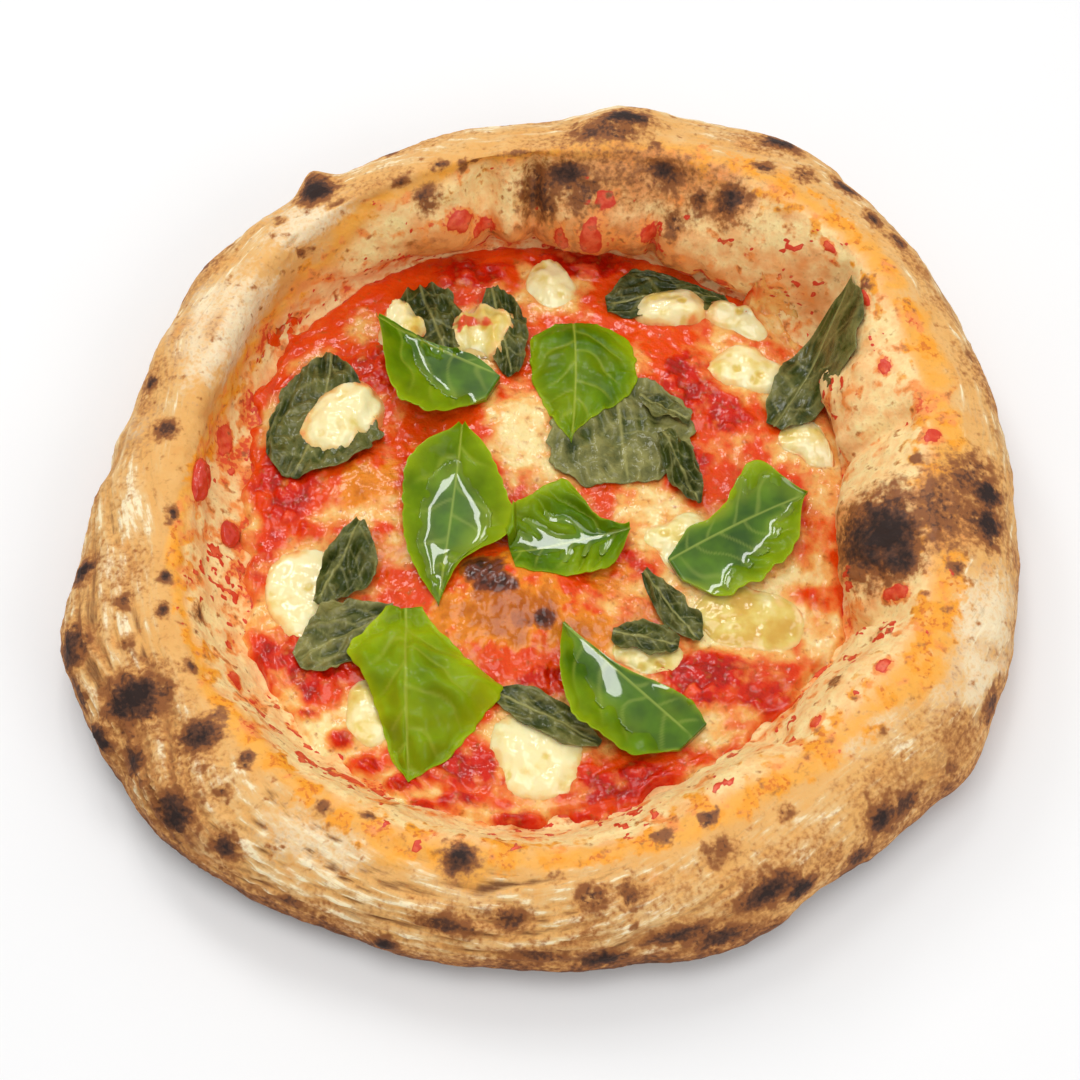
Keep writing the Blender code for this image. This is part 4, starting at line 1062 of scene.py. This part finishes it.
def makePool(pool, seed):
    name, cx, cy, reaches, depth, turn, uneven, yellow, red = pool
    around = np.linspace(0, 2 * math.pi, mozzarella["stationsRound"], endpoint=False)[None, :]
    share = np.linspace(0.02, 1, mozzarella["rings"])[:, None]
    ring = pointsAt(np.cos(around), np.sin(around), seed * 3.7)
    edge = 1 + 1.3 * uneven * (noiseAt(ring, 1.1, seed) + 0.16 * noiseAt(ring, 0.5, seed + 1))
    reach = aroundRim(reaches, around) * edge
    px, py = reach * np.cos(around) * share, reach * np.sin(around) * share
    turned = math.radians(turn)
    x = cx + px * math.cos(turned) - py * math.sin(turned)
    y = cy + px * math.sin(turned) + py * math.cos(turned)
    x, y = insideWell(x, y, 0.5)
    flat = pointsAt(x, y)
    ground = pile.softened(4).at(x, y)
    dome = (1 - share ** 2.2) ** 1.1
    lumps = 0.55 * roughNoise(flat, 9, 2, seed + 10) + 0.25 * roughNoise(flat, 3.5, 2, seed + 20)
    pits, number = cellsAt(flat, 5.5, seed + 30)
    pit = smooth(0.42, 0.15, pits) * (number > 0.6)
    z = ground + depth * dome * 0.62 + lumps * smooth(0, 0.5, dome) - 0.5 * pit * dome - 1.7 * share ** 5
    z = np.maximum(z, np.where(share < 0.86, pile.at(x, y) + 0.1, z))
    butterfat = np.clip(yellow + 0.5 * roughNoise(flat, 9, 2, seed + 40) + 0.5 * pit - 0.25 * lumps, 0, 1.2)
    thin = smooth(0.52, 1.02, share + 0.18 * roughNoise(flat, 6, 2, seed + 50))
    tomato = red * smooth(-0.1, 0.5, roughNoise(flat, 8, 2, seed + 60)) * 1.3
    points = pointsAt(x, y, z)
    bottom = points[-1:] - np.array([0, 0, mozzarella["skirt"]])
    everything = np.concatenate([points, bottom])
    rows, count = len(everything), around.shape[1]
    masks = {key: np.concatenate([v, v[-1:]]) for key, v in
             (("butterfat", butterfat), ("thin", np.broadcast_to(thin, x.shape)), ("tomato", tomato))}
    makePiece("mozzarella_" + name + "_melted", everything, gridQuads(rows, count, True), masks,
              mozzarellaMelt, ["mozzarella_" + name], endCaps(rows, count))
    pile.add(points)


for number, pool in enumerate(mozzarella["pools"]):
    makePool(pool, 500 + 7 * number)

for number, leaf in enumerate(basil["bakedOver"]):
    makeBakedLeaf(leaf, 450 + number)
makeBakedLeaf(basil["leaning"], 460, True)


def makeFreshLeaf(leaf, seed):
    name = leaf[0]
    baseLift, tipLift, arch, cupLeft, cupRight, wave, quilt, folds, oilLevel, paleness = leaf[8:18]
    t, s, x, y, _, vein, swelling, midrib = bladeGrid(leaf, seed, True)
    flat = pointsAt(x, y, seed * 5.0)
    cup = np.where(s > 0, cupLeft, cupRight) * np.sin(math.pi * np.clip(t, 0.04, 0.96)) ** 0.6
    shape = baseLift * (1 - t) + tipLift * t + arch * 4 * t * (1 - t) + cup * np.abs(s) ** 1.8
    edgeWave = wave * np.abs(s) ** 2 * noiseAt(flat, 13, seed + 1)
    quilting = quilt * (1.6 * swelling + 0.5 * roughNoise(flat, 4, 2, seed + 7))
    shape = shape + edgeWave + quilting - 0.3 * midrib
    shape = shape + folds * roughNoise(flat, 14, 2, seed + 2) - 1.5 * smooth(0.85, 1.0, t) * (cupLeft > 0)
    ground = pile.softened(8).at(x, y)
    rise = np.percentile(ground - shape, 75)
    z = np.maximum(shape + rise, pile.at(x, y) + 0.35 + 0.25 * swelling)
    pale = np.clip(paleness + 0.30 * roughNoise(flat, 16, 2, seed + 3) + 0.55 * np.abs(s) ** 6, 0, 1)
    leafSolid("basil_fresh_" + name + "_blade", x, y, z, {"vein": vein, "pale": pale}, freshBasil,
              ["basil_fresh_" + name])
    if oilLevel:
        makeOilFilm(name, x, y, z, oilLevel, vein, pale, seed)


def makeOilFilm(name, x, y, z, level, vein, pale, seed):
    # olive oil fills the cup of a leaf up to a level, with a curved edge where it wets the leaf;
    # it is clear and thin, so it carries the leaf's green under a mirror surface
    flat = pointsAt(x, y)
    surface = z.min() + level + 0.10 * roughNoise(flat, 16, 1, seed + 9)
    calm = evened(z, 30, 4)
    depth = surface - calm
    wetted = depth > -1.0
    top = calm + 0.5 * (depth + np.sqrt(depth ** 2 + 0.6 ** 2)) - 0.08
    rows, columns = x.shape
    quads = gridQuads(rows, columns, False)
    kept = quads[wetted.reshape(-1)[quads].all(-1)]
    if len(kept) < 30:
        return
    used, where = np.unique(kept, return_inverse=True)
    upper = pointsAt(x, y, top).reshape(-1, 3)[used]
    lower = pointsAt(x, y, np.minimum(z + 0.02, top - 0.04)).reshape(-1, 3)[used]
    kept = where.reshape(-1, 4)
    count = len(used)
    sides = {(a, b): None for quad in kept.tolist() for a, b in zip(quad, quad[1:] + quad[:1])}
    openSides = [(a, b) for a, b in sides if (b, a) not in sides]
    wall = np.array([(b, a, a + count, b + count) for a, b in openSides])
    allQuads = np.concatenate([kept, kept[:, ::-1] + count, wall])
    masks = {key: np.tile(np.broadcast_to(v, x.shape).reshape(-1)[used], 2) for key, v in
             (("vein", 0.7 * vein), ("pale", np.clip(pale - 0.15 * np.maximum(depth, 0), 0, 1)))}
    makePiece("oil_in_leaf_" + name, np.concatenate([upper, lower]), allQuads, masks, oiledBasil, [])


for number, leaf in enumerate(basil["fresh"]):
    makeFreshLeaf(leaf, 600 + 11 * number)


tomatoPieces = {
    "rings": 24,
    "stationsRound": 40,
    # name, angle, place round the section, half length, half width, half height
    "pieces": (("large", 173, 0.66, 7.0, 4.6, 2.6), ("small", 178, 0.84, 4.6, 3.4, 2.0)),
}


def cookedTomato():
    # a piece of skinned tomato softened in the oven: saturated red, wet, faintly fibrous
    material, tree, shader = newMaterial("cookedTomato", {
        "Roughness": 0.3, "IOR": 1.40, "Coat Weight": 0.4, "Coat Roughness": 0.1})
    place = addNode(tree, "ShaderNodeTexCoord").outputs["Object"]
    fibre = addNode(tree, "ShaderNodeTexNoise", {"Vector": place, "Scale": 1000 / 1.8, "Detail": 3.0})
    tint = addNode(tree, "ShaderNodeMix", {0: fibre.outputs["Fac"], 6: linear("#B92312"),
                                           7: linear("#E0452A")}, data_type="RGBA")
    tree.links.new(tint.outputs[2], shader.inputs["Base Color"])
    bump = addNode(tree, "ShaderNodeBump", {"Height": fibre.outputs["Fac"], "Strength": 0.5,
                                            "Distance": 0.4 * mm})
    tree.links.new(bump.outputs["Normal"], shader.inputs["Normal"])
    return material


def makeTomatoPieces():
    material = cookedTomato()
    rings, stations = tomatoPieces["rings"], tomatoPieces["stationsRound"]
    for number, (name, degrees, place, halfLong, halfWide, halfHigh) in enumerate(tomatoPieces["pieces"]):
        angle = np.array([math.radians(degrees)])
        here, further = rimSkin(angle, np.array([0.0, place, place + 0.03, 1.0]))[1:3, 0]
        acrossRim = (further - here) / np.linalg.norm(further - here)
        alongRim = np.array([-math.sin(angle[0]), math.cos(angle[0]), 0])
        outwards = np.cross(alongRim, acrossRim)
        outwards = outwards * np.sign(outwards[2])
        u = np.linspace(0, 2 * math.pi, stations, endpoint=False)[None, :]
        v = np.linspace(0.03, math.pi - 0.03, rings)[:, None]
        ball = np.stack([np.cos(u) * np.sin(v), np.sin(u) * np.sin(v), np.cos(v) + 0 * u], -1)
        lumpy = 1 + 0.22 * roughNoise(ball, 0.9, 3, 700 + number)
        points = here + (ball[..., :1] * halfLong * alongRim + ball[..., 1:2] * halfWide * acrossRim
                         + (ball[..., 2:] + 0.45) * halfHigh * outwards) * lumpy[..., None]
        makePiece("tomato_piece_" + name + "_cooked", points, gridQuads(rings, stations, True)[:, ::-1], {},
                  material, ["tomato_piece_" + name], [e[::-1] for e in endCaps(rings, stations)])


makeTomatoPieces()


studio = {
    "floorColours": ("#F4F4F4", "#F1F1F1"),
    "flatRadius": 2.2,         # metres of flat table before the backdrop curves up
    "bendWidth": 0.7,
    "backdropHeight": 1.0,
    "floorGap": 0.0002,        # between the part's underside and the table
    "worldStrength": 0.55,
    "lampAim": (0, 0, 0.02),
    "lamps": (                 # name, place, width, depth, watts
        ("window_left", (-0.62, 1.02, 1.00), 0.30, 0.45, 3.6),
        ("window_middle", (-0.19, 0.78, 1.20), 0.09, 0.42, 1.5),
        ("window_right", (0.03, 0.78, 1.20), 0.09, 0.42, 1.5),
        ("overhead", (-0.10, -0.15, 1.40), 0.8, 0.7, 6.0),
        ("side_fill", (0.90, -0.75, 0.90), 0.8, 0.6, 3.6),
    ),
    "cameraHeight": 60.0,      # degrees above the table
    "cameraDistance": 680.0,   # from a point 12 mm over the middle
    "lens": 73.3,
}


def makeStudio():
    # a round table top that curves up into a low backdrop
    around = np.linspace(0, 2 * math.pi, 64, endpoint=False)
    bend = np.linspace(0, math.pi / 2, 9)
    radii = [0.5, studio["flatRadius"], *(studio["flatRadius"] + studio["bendWidth"] * np.sin(bend[1:]))]
    heights = [0.0, 0.0, *(studio["backdropHeight"] * (1 - np.cos(bend[1:])))]
    rings = [[(r * math.cos(a), r * math.sin(a), h) for a in around] for r, h in zip(radii, heights)]
    floorMesh = bpy.data.meshes.new("table_top")
    quads = gridQuads(len(rings), len(around), True)[:, ::-1].tolist()
    floorMesh.from_pydata([p for ring in rings for p in ring], [], quads + [tuple(range(len(around)))])
    floorMesh.shade_smooth()
    floor = addObject("table_top", floorMesh)
    floor.location.z = -studio["floorGap"]
    # matt emulsion: even, no shine
    paint, tree, shader = newMaterial("mattWhitePaint", {"Roughness": 0.9, "Specular IOR Level": 0.1})
    grain = addNode(tree, "ShaderNodeTexNoise", {"Scale": 60.0, "Detail": 2.0})
    light, dark = (linear(colour) for colour in studio["floorColours"])
    tint = addNode(tree, "ShaderNodeMix", {0: grain.outputs["Fac"], 6: light, 7: dark}, data_type="RGBA")
    tree.links.new(tint.outputs[2], shader.inputs["Base Color"])
    floorMesh.materials.append(paint)

    world = bpy.data.worlds.new("studio")
    bpy.context.scene.world = world
    world.use_nodes = True
    tree = world.node_tree
    tree.nodes.clear()
    fill = addNode(tree, "ShaderNodeBackground", {"Color": linear("#FFFFFF"),
                                                  "Strength": studio["worldStrength"]})
    addNode(tree, "ShaderNodeOutputWorld", {"Surface": fill.outputs[0]})

    for name, place, width, depth, watts in studio["lamps"]:
        light = bpy.data.lights.new(name, "AREA")
        light.shape = "RECTANGLE"
        light.size, light.size_y, light.energy = width, depth, watts
        lamp = addObject(name, light)
        lamp.location = place
        toAim = Vector(studio["lampAim"]) - Vector(place)
        lamp.rotation_euler = toAim.to_track_quat("-Z", "Y").to_euler()

    camera = addObject("camera", bpy.data.cameras.new("camera"))
    camera.data.sensor_width = 36.0
    camera.data.lens = studio["lens"]
    camera.data.clip_start, camera.data.clip_end = 0.01, 20.0
    tilt = math.radians(studio["cameraHeight"])
    aim = np.array([0.0, 0.0, 12.0]) - planCentre
    away = studio["cameraDistance"] * np.array([0.0, -math.cos(tilt), math.sin(tilt)])
    camera.location = Vector((aim + away) * mm)
    camera.rotation_euler = (math.pi / 2 - tilt, 0, 0)
    bpy.context.scene.camera = camera
    bpy.context.scene.view_settings.view_transform = "Standard"


makeStudio()
